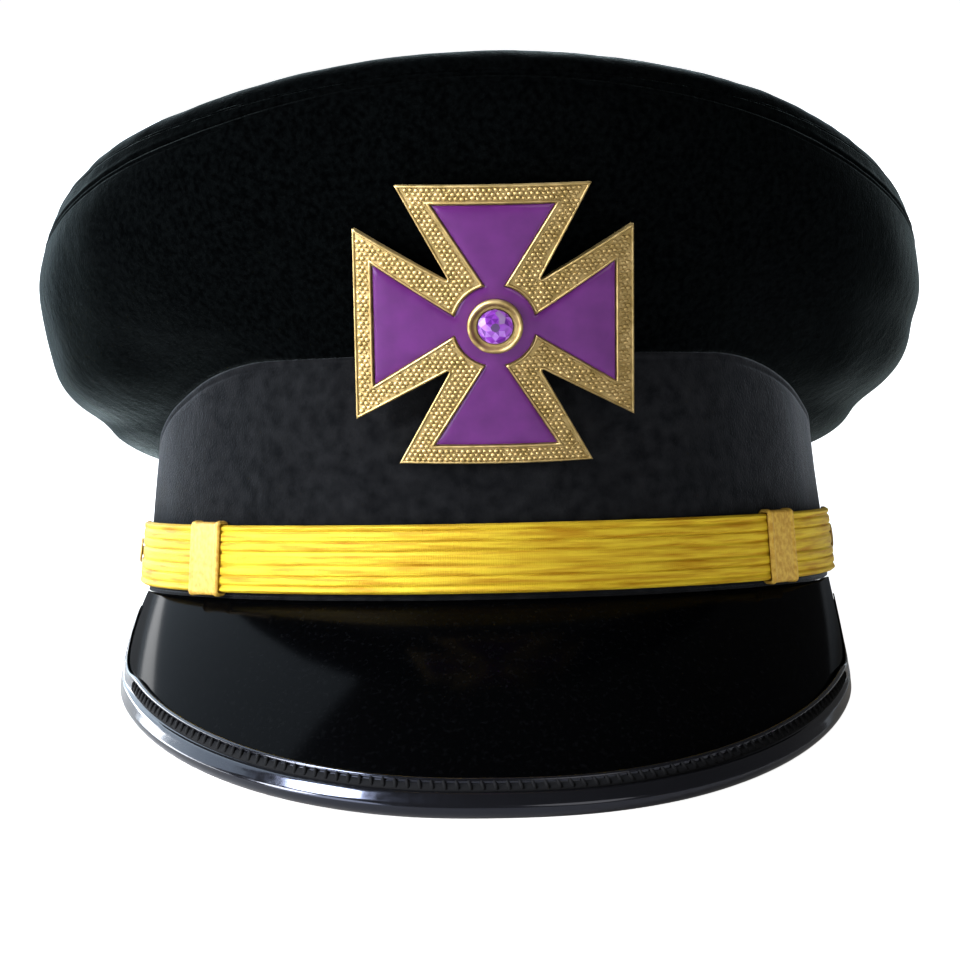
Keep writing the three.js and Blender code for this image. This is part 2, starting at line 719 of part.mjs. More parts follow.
// Assembly
const clothMaterial = new THREE.MeshStandardMaterial({ color: 0x0d0e11, roughness: 0.95 });
const patentMaterial = new THREE.MeshStandardMaterial({ color: 0x050506, roughness: 0.12 });
const laceMaterial = new THREE.MeshStandardMaterial({ color: 0xe0b02a, roughness: 0.5, metalness: 0.5 });
const giltMaterial = new THREE.MeshStandardMaterial({ color: 0xcfae5a, roughness: 0.35, metalness: 0.9 });
const enamelMaterial = new THREE.MeshStandardMaterial({ color: 0x6b2c8c, roughness: 0.15 });
const stoneMaterial = new THREE.MeshStandardMaterial({ color: 0x9a3fe0, roughness: 0.03 });

const cap = new THREE.Group();

function addPiece(group, name, geometry, material) {
  const mesh = new THREE.Mesh(geometry, material);
  mesh.name = name;
  group.add(mesh);
  return mesh;
}

addPiece(cap, "band", withStudHoles(bandGeometry()), clothMaterial);
addPiece(cap, "crown_side", withPostHole(crownSideGeometry()), clothMaterial);
addPiece(cap, "crown_top", crownTopGeometry(), clothMaterial);
addPiece(cap, "peak", peakGeometry(), patentMaterial);
addPiece(cap, "peak_binding", bindingGeometry(), patentMaterial);
addPiece(cap, "strap", withStudHoles(strapGeometry()), laceMaterial);
for (const [place, side] of [["left", -1], ["right", 1]]) {
  addPiece(cap, `slide_${place}`, slideGeometry(side), laceMaterial);
  const stud = addPiece(cap, `strap_stud_${place}`, studGeometry(), giltMaterial);
  stud.applyMatrix4(studPlace(side));
}

addPiece(badge, "badge_plate", badgePlateGeometry(), giltMaterial);
addPiece(badge, "badge_enamel", enamelGeometry(), enamelMaterial);
addPiece(badge, "badge_stone", stoneGeometry(), stoneMaterial);
cap.add(badge);

// The cap is tipped back until the table is level, and set on it with its box's middle over the
// origin.
cap.rotation.x = -Math.atan(restSlope);
const part = new THREE.Group();
part.add(cap);
const box = new THREE.Box3().setFromObject(part, true);
cap.position.set(0, -(box.min.y + box.max.y) / 2, -box.min.z);

export default part;
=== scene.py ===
import json
import math

import bmesh
import bpy
import numpy as np
from mathutils import Matrix, Vector
from mathutils.geometry import delaunay_2d_cdt


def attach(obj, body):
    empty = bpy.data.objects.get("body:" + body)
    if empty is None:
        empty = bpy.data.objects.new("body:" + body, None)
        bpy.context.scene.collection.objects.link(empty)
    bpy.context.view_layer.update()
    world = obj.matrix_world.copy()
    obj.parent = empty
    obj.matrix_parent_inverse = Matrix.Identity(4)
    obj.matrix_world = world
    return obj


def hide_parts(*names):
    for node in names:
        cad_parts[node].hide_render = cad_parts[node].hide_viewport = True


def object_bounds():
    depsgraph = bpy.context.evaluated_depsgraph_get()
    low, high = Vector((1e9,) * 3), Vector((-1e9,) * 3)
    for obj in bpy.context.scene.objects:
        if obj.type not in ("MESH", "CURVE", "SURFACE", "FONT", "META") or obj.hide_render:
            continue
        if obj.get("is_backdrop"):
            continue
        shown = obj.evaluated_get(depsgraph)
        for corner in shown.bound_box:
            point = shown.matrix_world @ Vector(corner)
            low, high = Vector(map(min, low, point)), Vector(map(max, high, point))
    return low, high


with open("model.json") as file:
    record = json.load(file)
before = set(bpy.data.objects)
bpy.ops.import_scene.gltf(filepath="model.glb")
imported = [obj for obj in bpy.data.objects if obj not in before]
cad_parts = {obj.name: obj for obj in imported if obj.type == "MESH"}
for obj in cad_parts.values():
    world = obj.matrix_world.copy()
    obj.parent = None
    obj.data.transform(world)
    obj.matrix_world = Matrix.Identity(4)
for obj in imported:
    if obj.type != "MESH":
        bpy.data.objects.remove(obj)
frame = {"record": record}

solids_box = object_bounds()
scene = bpy.context.scene

# The view
# A long lens stands in front of the cap, a little to its left and about a hand's width above it,
# and looks slightly down on the peak.
VIEW_FROM = Vector((-0.0196, -0.7210, 0.1803))
VIEW_ALONG = Vector((0.02432, 0.98284, -0.18287))
VIEW_ROLL = math.radians(-0.96)
LENS_LENGTH = 105.5

camera = bpy.data.objects.new("camera", bpy.data.cameras.new("camera"))
camera.data.lens = LENS_LENGTH
camera.location = VIEW_FROM
level_view = VIEW_ALONG.to_track_quat("-Z", "Y").to_matrix()
camera.rotation_euler = (level_view @ Matrix.Rotation(VIEW_ROLL, 3, "Z")).to_euler()
scene.collection.objects.link(camera)
scene.camera = camera

# Band
# A stiff hoop of buckram covered with black felted cloth, tall at the brow and lower at the nape.
# The cloth is folded over the top edge, which makes a soft bead there, and its join is at the back.
HEAD_HALF_WIDTH = 89.7
HEAD_HALF_LENGTH = 105
BAND_WALL = 2.6
BAND_FRONT_HEIGHT = 56.3
BAND_BACK_HEIGHT = 31
BAND_DROP_STARTS = math.radians(37)
BAND_DROP_ENDS = math.radians(108)
BAND_LEAN_FRONT = 0.03
BAND_LEAN_SIDE = 0.1
ROUND_STEPS = 360

# The cap leans back on its peak. The rim mount is the back of the band's lower edge.
rim_mount = frame["record"]["mounts"][0]
lean_back = math.atan2(-rim_mount["axis"][1], -rim_mount["axis"][2])
cap_turn = Matrix.Rotation(-lean_back, 3, "X")
band_back = Vector((0, HEAD_HALF_LENGTH - BAND_WALL / 2, 0)) / 1000
cap_origin = Vector(rim_mount["pos_m"]) - cap_turn @ band_back


def placed(points):
    """Points in the cap's own millimetres, as metres where the cap stands."""
    flat = np.asarray(points, float).reshape(-1, 3)
    return flat @ np.array(cap_turn).T / 1000 + np.array(cap_origin)


def smooth_step(value, low, high):
    share = np.clip((value - low) / (high - low), 0, 1)
    return share * share * (3 - 2 * share)


def unit(vectors):
    return vectors / np.linalg.norm(vectors, axis=-1, keepdims=True)


def full_turn(sides):
    return np.arange(sides) * 2 * math.pi / sides


def hump(value, at, width):
    return np.exp(-(((value - at) / width) ** 2))


def around(angle, out, up):
    """The point at an angle round the head, from 0 in front, that far out of the head oval."""
    sin, cos = np.sin(angle), np.cos(angle)
    normal = unit(np.stack([sin / HEAD_HALF_WIDTH, -cos / HEAD_HALF_LENGTH], -1))
    x = HEAD_HALF_WIDTH * sin + normal[..., 0] * out
    y = -HEAD_HALF_LENGTH * cos + normal[..., 1] * out
    return np.stack(np.broadcast_arrays(x, y, up), -1)


def band_height(angle):
    from_front = np.arccos(np.clip(np.cos(angle), -1, 1))
    drop = smooth_step(from_front, BAND_DROP_STARTS, BAND_DROP_ENDS)
    return BAND_FRONT_HEIGHT + (BAND_BACK_HEIGHT - BAND_FRONT_HEIGHT) * drop


def band_out(angle, up):
    lean = BAND_LEAN_FRONT + (BAND_LEAN_SIDE - BAND_LEAN_FRONT) * np.sin(angle) ** 2
    return -lean * up


def unevenness(points, wavelength, seed, waves=14):
    """A smooth height of about -1 to 1 at each point, like that of hand-worked cloth."""
    draw = np.random.default_rng(seed)
    total = np.zeros(points.shape[:-1])
    for _ in range(waves):
        direction = unit(draw.normal(size=3))
        pace = 2 * math.pi / (wavelength * draw.uniform(0.7, 1.5))
        total += np.sin(points @ direction * pace + draw.uniform(0, 2 * math.pi))
    return total / math.sqrt(waves)


def made_up(name, vertices, faces, material, lengths=None):
    """A smooth mesh object that rides on the cap. Lengths are its loops' UVs, in metres."""
    mesh = bpy.data.meshes.new(name)
    mesh.from_pydata([tuple(v) for v in vertices], [], faces)
    if lengths is not None:
        layer = mesh.uv_layers.new(name="lengths")
        values = np.zeros((len(mesh.loops), 2))
        values[: len(lengths)] = lengths
        layer.data.foreach_set("uv", values.ravel())
    work = bmesh.new()
    work.from_mesh(mesh)
    bmesh.ops.remove_doubles(work, verts=work.verts, dist=1e-7)
    bmesh.ops.recalc_face_normals(work, faces=work.faces)
    work.to_mesh(mesh)
    work.free()
    mesh.materials.append(material)
    mesh.polygons.foreach_set("use_smooth", [True] * len(mesh.polygons))
    piece = bpy.data.objects.new(name, mesh)
    scene.collection.objects.link(piece)
    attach(piece, "root")
    return piece


def lofted(name, grid, material, ring_rows, ring_columns, along=None, across=None):
    """A piece from a grid of points. Rows that aren't a ring are closed with a face at each end."""
    rows, columns = grid.shape[:2]
    i, j = np.meshgrid(
        np.arange(rows if ring_rows else rows - 1),
        np.arange(columns if ring_columns else columns - 1),
        indexing="ij",
    )
    next_i, next_j = (i + 1) % rows, (j + 1) % columns
    corners = [(i, j), (next_i, j), (next_i, next_j), (i, next_j)]
    faces = np.stack([a * columns + b for a, b in corners], -1).reshape(-1, 4).tolist()
    lengths = None
    if along is not None:
        u = np.stack([along[i], along[i + 1], along[i + 1], along[i]], -1)
        v = np.stack([across[j], across[j], across[j + 1], across[j + 1]], -1)
        lengths = np.stack([u, v], -1).reshape(-1, 2) / 1000
    if not ring_rows:
        faces.append(list(range(columns)))
        faces.append(list(range((rows - 1) * columns, rows * columns)))
    return made_up(name, placed(grid), faces, material, lengths=lengths)


def new_material(name, colour, roughness, **sockets):
    """A material and its tree and shader. The other values go on the shader's own sockets."""
    material = bpy.data.materials.new(name)
    material.use_nodes = True
    tree = material.node_tree
    shader = tree.nodes["Principled BSDF"]
    shader.inputs["Base Color"].default_value = (*colour, 1)
    shader.inputs["Roughness"].default_value = roughness
    for socket, value in sockets.items():
        shader.inputs[socket.replace("_", " ")].default_value = value
    return material, tree, shader


def add_node(tree, kind, inputs=(), **settings):
    """A node with its settings. An input is a value, or another node's output socket."""
    node = tree.nodes.new("ShaderNode" + kind)
    for setting, value in settings.items():
        setattr(node, setting, value)
    for socket, value in dict(inputs).items():
        if isinstance(value, bpy.types.NodeSocket):
            tree.links.new(value, node.inputs[socket])
        else:
            node.inputs[socket].default_value = value
    return node


def noise(tree, size, detail=3.0, where=None):
    """A noise pattern whose lumps are about that many millimetres across."""
    where = where or add_node(tree, "TexCoord").outputs["Object"]
    inputs = {"Vector": where, "Scale": 1000 / size, "Detail": detail}
    return add_node(tree, "TexNoise", inputs).outputs["Fac"]


def tint(tree, shader, fac, low, high, start=0.35, end=0.65):
    """The shader's colour runs from low to high as the pattern runs from start to end."""
    ramp = add_node(tree, "ValToRGB", {"Fac": fac})
    ramp.color_ramp.elements[0].position = start
    ramp.color_ramp.elements[1].position = end
    ramp.color_ramp.elements[0].color = (*low, 1)
    ramp.color_ramp.elements[1].color = (*high, 1)
    tree.links.new(ramp.outputs["Color"], shader.inputs["Base Color"])


def spread(tree, fac, low, high, start=0.3, end=0.7):
    inputs = {"Value": fac, "From Min": start, "From Max": end, "To Min": low, "To Max": high}
    return add_node(tree, "MapRange", inputs).outputs["Result"]


def relief(tree, shader, *layers):
    """Bump layers, each a pattern and its depth in millimetres, onto the shader's normal."""
    normal = None
    for height, depth in layers:
        inputs = {"Height": height, "Distance": depth / 1000, "Strength": 1.0}
        if normal:
            inputs["Normal"] = normal
        normal = add_node(tree, "Bump", inputs).outputs["Normal"]
    tree.links.new(normal, shader.inputs["Normal"])


FELT_DARK = (0.0042, 0.0046, 0.0055)
FELT_WORN = (0.0125, 0.0132, 0.015)
felt, tree, shader = new_material(
    "felted band cloth", FELT_DARK, 0.95, Sheen_Weight=0.75, Sheen_Roughness=0.3, Specular_IOR_Level=0.0
)
shader.inputs["Sheen Tint"].default_value = (0.5, 0.55, 0.62, 1)
patches = noise(tree, 3.4, 5.0)
tint(tree, shader, patches, FELT_DARK, FELT_WORN, 0.3, 0.8)
relief(tree, shader, (noise(tree, 3.0, 2.0), 0.1), (noise(tree, 0.5, 3.0), 0.15))

# The felt's section: out of the band's face, and down from its top edge or up from its lower one.
FELT_TOP = [(0, 3.4), (-0.02, 2.7), (-0.1, 2.3), (-0.22, 2.0), (-0.15, 1.75), (0, 1.5), (0.12, 1.1)]
FELT_TOP += [(0.1, 0.7), (-0.08, 0.35), (-0.4, 0.1), (-0.9, 0), (-1.7, 0.02), (-2.3, 0.2), (-2.6, 0.6)]
FELT_FACE_STEPS = 26
FELT_FACE_FROM = 0.8
FELT_FACE_TO_TOP = 3.4
FELT_WAVE = 26
FELT_WAVE_HEIGHT = 0.13
FELT_SUNK = 0.1
FELT_FOOT = [(-2.6, 0.5), (-2.3, 0.1), (-1.3, 0), (-0.5, 0.05), (-0.15, 0.3), (0, 0.8)]

angles = full_turn(ROUND_STEPS)
tops = band_height(angles)
felt_columns = []
for out, up in FELT_FOOT:
    felt_columns.append(around(angles, band_out(angles, up) + out, up))
for share in np.linspace(0, 1, FELT_FACE_STEPS)[1:-1]:
    up = FELT_FACE_FROM + share * (tops - FELT_FACE_TO_TOP - FELT_FACE_FROM)
    felt_columns.append(around(angles, band_out(angles, up), up))
for out, down in FELT_TOP:
    felt_columns.append(around(angles, band_out(angles, tops - down) + out, tops - down))
felt_grid = np.stack(felt_columns, 1)
felt_out = around(angles, 1.0, 0.0) - around(angles, 0.0, 0.0)
felt_swell = FELT_WAVE_HEIGHT * unevenness(felt_grid, FELT_WAVE, 3) - FELT_SUNK
felt_grid = felt_grid + felt_out[:, None, :] * felt_swell[..., None]

band_piece = lofted("band_felt", felt_grid, felt, True, True)
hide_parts("band")

# Crown side
# One strip of black wool cloth, sewn to the band and flaring out over it. It is taller in front,
# where a stay holds it up, and soft elsewhere, so it dents a little between the two seams.
CROWN_SHAPE = {
    "rim_out": (17, 21.8, 18),
    "rim_up": (118.5, 89.5, 78),
    "flare_out": (3, 23.5, 20),
    "flare_up": (18, 7.5, 6),
    "bulge_out": (1.5, 12.5, 11),
    "bulge_down": (20, 21, 20),
}
CROWN_GAP = 0.3
CROWN_WALL = 2
CROWN_TURN_IN = 2.1
CROWN_FACE_STEPS = 46
DENT_DEPTH = 0.55
SMALL_DENTS_SHARE = 0.35
SIDE_PUCKER_HEIGHT = 0.06
FOOT_DOWN = 0.5
FOOT_SHARE = 0.04
RIM_SETTLE = 1.5
RIM_SETTLES_FROM = 45
RIM_SETTLES_TO = 90
RIM_SETTLE_HALF = 110
RIM_RISES = [(0.9, -88, 16), (1.0, 68, 28)]
# Each belly or hollow, as its side, how far out, how far up and its width.
SIDE_BELLY = [(-1, 1.4, 53, 6), (-1, -1.9, 43, 3.5)]
SIDE_BELLY += [(1, -1.1, 66, 5), (1, 0.3, 55, 4), (1, -3.0, 44, 4.5)]
SIDE_BELLY_REACH = (0.6, 0.95)
RIM_STEPS = np.linspace(9, 0, 41)
SEAM_DOWN_FRONT = 0.8
SEAM_DOWN_SIDE = 6.5
# Each form beside the seam, as height, place and width: the cloth's two folds, the seam, the stitching.
SEAM_FORMS = [(0.16, 0.8, 0.9), (0.16, -0.9, 0.7), (-0.6, 0, 0.45), (-0.28, 1.5, 0.3)]

WOOL_DARK = (0.0003, 0.0004, 0.0005)
WOOL_LIGHT = (0.0014, 0.0018, 0.002)
wool, tree, shader = new_material(
    "black wool cloth", WOOL_DARK, 0.95, Sheen_Weight=0.5, Sheen_Roughness=0.25, Specular_IOR_Level=0.0
)
shader.inputs["Sheen Tint"].default_value = (0.45, 0.55, 0.57, 1)
tint(tree, shader, noise(tree, 1.4, 5.0), WOOL_DARK, WOOL_LIGHT)
relief(tree, shader, (noise(tree, 4.0, 2.0), 0.18), (noise(tree, 0.45, 2.0), 0.12))


def on_section(section):
    """The points of a section that is given as out and up at each angle round the head."""
    return around(angles[:, None], section[..., 0], section[..., 1])


def crown_size(name, angle):
    """A size that is given in front, at the sides and at the back, smoothly round the head."""
    front, side, back = CROWN_SHAPE[name]
    mean = (front + back) / 4 + side / 2
    saddle = (front + back) / 4 - side / 2
    return mean + (front - back) / 2 * np.cos(angle) + saddle * np.cos(2 * angle)


def crown_side_ends(angle):
    """The four points that steer the side's profile, each out of the head oval and up."""
    up = band_height(angle) + CROWN_GAP
    out = band_out(angle, up) - CROWN_GAP
    rim_out, rim_up = crown_size("rim_out", angle), crown_size("rim_up", angle)
    flare = (out + crown_size("flare_out", angle), up + crown_size("flare_up", angle))
    bulge = (rim_out + crown_size("bulge_out", angle), rim_up - crown_size("bulge_down", angle))
    return [np.stack(p, -1) for p in ((out, up), flare, bulge, (rim_out, rim_up))]


def curve_at(ends, share):
    """Points and unit tangents of a smooth curve with two, three or four steering points."""
    share = share[..., None]
    order = len(ends) - 1
    point = sum(
        math.comb(order, k) * (1 - share) ** (order - k) * share**k * e for k, e in enumerate(ends)
    )
    steps = [b - a for a, b in zip(ends, ends[1:])]
    tangent = sum(
        math.comb(order - 1, k) * (1 - share) ** (order - 1 - k) * share**k * s
        for k, s in enumerate(steps)
    )
    return point, unit(tangent)


def settled(points):
    """Soft cloth settles: the rim rises and falls a little, and the sides belly out or fall in."""
    x, up = points[..., 0], points[..., 2]
    right = np.clip(x / RIM_SETTLE_HALF, -1, 1)
    lift = -RIM_SETTLE * right * np.abs(right)
    for rise, at, width in RIM_RISES:
        lift = lift + rise * hump(x, at, width)
    moved = points.copy()
    for side, out, at, width in SIDE_BELLY:
        belly = side * out * hump(up, at, width)
        moved[..., 0] += belly * smooth_step(side * right, *SIDE_BELLY_REACH)
    moved[..., 2] += lift * smooth_step(up, RIM_SETTLES_FROM, RIM_SETTLES_TO)
    return moved


def seam_swell(beyond):
    """How far the cloth stands out, that far beyond the seam. A row of stitching lies beside it."""
    return sum(height * hump(beyond, at, width) for height, at, width in SEAM_FORMS)


side_ends = [e[:, None, :] for e in crown_side_ends(angles)]
side_pace = 3 * np.linalg.norm(side_ends[3] - side_ends[2], axis=-1)
to_seam = 1 - RIM_STEPS[0] / side_pace
even = np.linspace(0, 1, CROWN_FACE_STEPS)[None, :-1] * to_seam
near = 1 - RIM_STEPS[None, :] / side_pace
shares = np.concatenate([even, near], 1)
section, tangent = curve_at(side_ends, shares)
outward = np.stack([tangent[..., 1], -tangent[..., 0]], -1)
face_points = on_section(section)
room = smooth_step(shares, 0.0, 0.25) * (1 - smooth_step(shares, 0.8, 0.97))
small_dents = SMALL_DENTS_SHARE * unevenness(face_points, 21, 12)
dents = DENT_DEPTH * room * (unevenness(face_points, 62, 11) + small_dents)
from_rim = (1 - shares) * side_pace
puckers = SIDE_PUCKER_HEIGHT * unevenness(face_points, 7, 13) * smooth_step(from_rim, 9, 4)
seam_down = SEAM_DOWN_FRONT + (SEAM_DOWN_SIDE - SEAM_DOWN_FRONT) * np.sin(angles[:, None]) ** 2
face = section + outward * (dents + puckers + seam_swell(from_rim - seam_down))[..., None]
face[..., 1] -= FOOT_DOWN * np.maximum(0, 1 - shares / FOOT_SHARE)
inner = section[:, 1:] - outward[:, 1:] * CROWN_WALL
turn_in = face[:, :1] + np.array([-CROWN_TURN_IN, 0])
turn_up = turn_in + np.array([0, CROWN_WALL])
side_section = np.concatenate([turn_in, face, inner[:, ::-1], turn_up], 1)
side_grid = settled(on_section(side_section))

side_piece = lofted("crown_side_wool", side_grid, wool, True, True)
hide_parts("crown_side")

# Crown top
# A flat oval of the same cloth over a thin stay. Its edge rolls over the rim and is sewn to the
# side's, with a welt of the same cloth in the seam. The middle sags.
ROLL_IN = 12
ROLL_UP = 5.5
ROLL_STEPS = 26
CROWN_SAG = 3
TOP_PUCKER_HEIGHT = 0.08
TOP_WAVE_HEIGHT = 0.5
TOP_RINGS = 34
WELT_RADIUS = 0.4
WELT_IN = 0.35
WELT_SIDES = 10


def roll_ends(angle):
    ends = crown_side_ends(angle)
    along = unit(ends[3] - ends[2])
    start = ends[3] + along * CROWN_GAP
    level_at = start + along * (ROLL_UP / along[..., 1:])
    return [start, level_at, start + np.array([-ROLL_IN, ROLL_UP])]


top_ends = [e[:, None, :] for e in roll_ends(angles)]
roll_pace = 2 * np.linalg.norm(top_ends[1] - top_ends[0], axis=-1)
near = RIM_STEPS[None, ::-1] / roll_pace
even = near[:, -1:] + (1 - near[:, -1:]) * np.linspace(0, 1, ROLL_STEPS)[None, 1:]
shares = np.concatenate([near, even], 1)
section, tangent = curve_at(top_ends, shares)
outward = np.stack([tangent[..., 1], -tangent[..., 0]], -1)
from_rim = shares * roll_pace
roll_points = on_section(section)
puckers = TOP_PUCKER_HEIGHT * unevenness(roll_points, 8, 21) * smooth_step(from_rim, 14, 3)
face = section + outward * (puckers + seam_swell(-from_rim - seam_down))[..., None]
inner = section - outward * CROWN_WALL
roll_face = on_section(face)
roll_inner = on_section(inner)

edge = roll_face[:, -1:]
ends_y = [roll_face[0, -1, 1], roll_face[ROUND_STEPS // 2, -1, 1]]
centre = np.array([0, sum(ends_y) / 2, 0])
reach = 1 - np.linspace(0, 1, TOP_RINGS + 1)[None, 1:]
front, side, back = CROWN_SHAPE["rim_up"]
mean = (front + back) / 4 + side / 2
tilt = (front - back) / 2
saddle = (front + back) / 4 - side / 2
here = angles[:, None]
level_edge = mean + tilt * np.cos(here) + saddle * np.cos(2 * here)
level = mean + tilt * reach * np.cos(here) + saddle * reach**2 * np.cos(2 * here)
flat = centre + (edge - centre) * reach[..., None]
flat[..., 2] = edge[..., 2] - level_edge + level - CROWN_SAG * (1 - reach**2)
flat[:, -1, 2] = mean + ROLL_UP + CROWN_GAP - CROWN_SAG
soft = smooth_step(reach, 0.02, 0.3) * (1 - smooth_step(reach, 0.85, 1.0))
flat[..., 2] += TOP_WAVE_HEIGHT * soft * unevenness(flat, 55, 22)
under = flat - np.array([0, 0, CROWN_WALL])
top_grid = settled(np.concatenate([roll_face, flat, under[:, ::-1], roll_inner[:, ::-1]], 1))

top_piece = lofted("crown_top_wool", top_grid, wool, True, True)
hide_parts("crown_top")

welt_ends = crown_side_ends(angles)
welt_middle = welt_ends[3] + np.array([-WELT_IN, CROWN_GAP / 2])
turn = full_turn(WELT_SIDES)
welt_section = welt_middle[:, None, :] + WELT_RADIUS * np.stack([np.cos(turn), np.sin(turn)], -1)
welt_grid = settled(on_section(welt_section))
welt_piece = lofted("crown_seam_welt", welt_grid, wool, True, True)

# Peak
# A crescent of board covered with black patent leather, sewn to the band's lower edge. Its hard
# lacquer is glossy, with a faint waviness from the leather under it.
PEAK_WALL = 2.2
PEAK_HALF_WIDTH = 91.2
PEAK_CENTRE_Y = -14
PEAK_REACH = 138
PEAK_ROUNDNESS = 0.89
PEAK_DROP = 42.4
PEAK_EDGE_UP = 1.92
PEAK_SIDE_RISE = 1.8
PEAK_FLAT_SHARE = 0.15
PEAK_RISE_POWER = 1.4
PEAK_END = math.radians(79)
PEAK_EDGE_END = math.radians(87)
PEAK_CORNER = math.radians(14)
PEAK_CAMBER = 2.2
PEAK_ROOT_IN = 0.8
PEAK_ROOT_DOWN = 1.15
PEAK_LEAST = 0.06
PEAK_PULL_LEFT = 2.2
PEAK_TWIST = 0.009
PEAK_ROWS = 220
PEAK_COLUMNS = 44

peak_slope = (PEAK_DROP + PEAK_EDGE_UP) / (HEAD_HALF_LENGTH - PEAK_CENTRE_Y + PEAK_REACH)

LACQUER = (0.0006, 0.0007, 0.001)
LACQUER_DUSTY = (0.003, 0.0033, 0.004)
patent, tree, shader = new_material(
    "black patent leather", LACQUER, 0.35, Coat_Weight=0.075, Coat_Roughness=0.12, Specular_IOR_Level=0.0
)
dust = noise(tree, 1.1, 4.0)
tint(tree, shader, dust, LACQUER, LACQUER_DUSTY, 0.55, 0.8)
tree.links.new(spread(tree, noise(tree, 9, 3.0), 0.3, 0.45), shader.inputs["Roughness"])
relief(tree, shader, (noise(tree, 12.0, 1.0), 0.3), (noise(tree, 1.6, 2.0), 0.02))


def peak_edge(edge_angle):
    sin, cos = np.sin(edge_angle), np.cos(edge_angle)
    x = PEAK_HALF_WIDTH * np.sign(sin) * np.abs(sin) ** PEAK_ROUNDNESS
    y = PEAK_CENTRE_Y - PEAK_REACH * cos**PEAK_ROUNDNESS
    beyond = np.maximum(0, np.abs(sin) - PEAK_FLAT_SHARE) / (1 - PEAK_FLAT_SHARE)
    rise = PEAK_SIDE_RISE * beyond**PEAK_RISE_POWER
    up = -(HEAD_HALF_LENGTH - y) * peak_slope + PEAK_EDGE_UP + rise
    return np.stack([x - PEAK_PULL_LEFT, y, up - PEAK_TWIST * x], -1)


def peak_flat(angle, share):
    root = around(angle, -PEAK_ROOT_IN, -PEAK_ROOT_DOWN)
    return root + (peak_edge(angle * PEAK_EDGE_END / PEAK_END) - root) * share[..., None]


def normal_of(surface, angle, share, step=1e-3):
    along = surface(angle + step, share) - surface(angle - step, share)
    across = surface(angle, share + step) - surface(angle, share - step)
    return unit(np.cross(across, along))


def peak_middle(angle, share):
    camber = PEAK_CAMBER * 4 * share * (1 - share) * np.cos(angle)
    return peak_flat(angle, share) + normal_of(peak_flat, angle, share) * camber[..., None]


def peak_reach(angle):
    """How far the peak reaches: all the way to its edge, apart from the rounded corners."""
    corner = np.clip((np.abs(angle) - (PEAK_END - PEAK_CORNER)) / PEAK_CORNER, 0, 1)
    return np.sqrt(1 - corner**2)


peak_angles = PEAK_END * np.sin(np.linspace(-math.pi / 2, math.pi / 2, PEAK_ROWS + 1))
reach = np.maximum(peak_reach(peak_angles), PEAK_LEAST)
shares = 1 - (1 - np.linspace(0, 1, PEAK_COLUMNS + 1)) ** 1.3
here = np.broadcast_to(peak_angles[:, None], (PEAK_ROWS + 1, PEAK_COLUMNS + 1))
there = reach[:, None] * shares[None, :]
normal = normal_of(peak_middle, here, there)
middle = peak_middle(here, there)
peak_top = middle + normal * PEAK_WALL / 2
peak_under = middle - normal * PEAK_WALL / 2
peak_grid = np.concatenate([peak_top, peak_under[:, ::-1]], 1)

peak_piece = lofted("peak_patent", peak_grid, patent, False, True)
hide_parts("peak")

# A thin felt welt fills the joint between the peak and the band.
JOINT_END = math.radians(78.5)
JOINT_RADIUS = 0.6
JOINT_OUT = -0.55
JOINT_UP = -0.1

joint_angles = np.linspace(-JOINT_END, JOINT_END, PEAK_ROWS + 1)
turn = full_turn(WELT_SIDES)
joint_grid = around(
    joint_angles[:, None],
    JOINT_OUT + JOINT_RADIUS * np.cos(turn)[None, :],
    JOINT_UP + JOINT_RADIUS * np.sin(turn)[None, :],
)
joint_piece = lofted("peak_joint_welt", joint_grid, felt, False, True)

# Peak binding
# A strip of the same patent leather, folded over the peak's outer edge and sewn through. A bead
# runs along its inner edge, the stitches lie in the groove beside it, and the edge itself is round.
BINDING_SLOT = PEAK_WALL / 2 + 0.3
BINDING_HALF = BINDING_SLOT + 0.9
BINDING_LIP_STEPS = 16
BINDING_LIP_OUT = 1.7
BINDING_CORNER_LEG = 0.35
BINDING_STARTS = 0.3
BINDING_NEAR = 0.3
BINDING_END_THIN = 0.92
BINDING_THINS_FROM = 1.3
BINDING_THINS_TO = 0.3
BINDING_TOP = [(-0.8, 2.36), (-1.5, 2.46), (-2.0, 2.52), (-2.4, 2.48), (-2.7, 2.3), (-2.95, 2.0)]
BINDING_TOP += [(-3.2, 1.86), (-3.8, 1.8), (-4.6, 1.8), (-5.2, 1.84), (-5.45, 1.96), (-5.6, 2.2)]
BINDING_TOP += [(-5.8, 2.42), (-6.1, 2.52), (-6.4, 2.46), (-6.7, 2.22), (-6.85, 1.8), (-6.8, 1.3)]
BINDING_INSIDE = [(-6.6, 1.12), (-3, 1.46), (0.3, 1.4), (0.3, -1.4), (-3, -1.46), (-4.9, -1.5)]
BINDING_UNDER = [(-5.05, -1.7), (-5.05, -2.1), (-4.85, -2.28), (-3, -2.3), (-1.5, -2.3)]

lip_turns = np.linspace(-math.pi / 2, math.pi / 2, BINDING_LIP_STEPS)
lip = [(BINDING_LIP_OUT * math.cos(t), BINDING_HALF * math.sin(t)) for t in lip_turns]
binding_section = np.array(BINDING_INSIDE + BINDING_UNDER + lip + BINDING_TOP)

BINDING_DARK = (0.006, 0.0062, 0.008)
binding_patent, tree, shader = new_material(
    "patent binding", BINDING_DARK, 0.12, Coat_Weight=0.2, Coat_Roughness=0.05, Specular_IOR_Level=0.32
)
shader.inputs["Specular Tint"].default_value = (0.7, 0.76, 1, 1)
tree.links.new(spread(tree, noise(tree, 2.5, 4.0), 0.1, 0.2), shader.inputs["Roughness"])
relief(tree, shader, (noise(tree, 6.0, 1.0), 0.05), (noise(tree, 0.7, 2.0), 0.004))

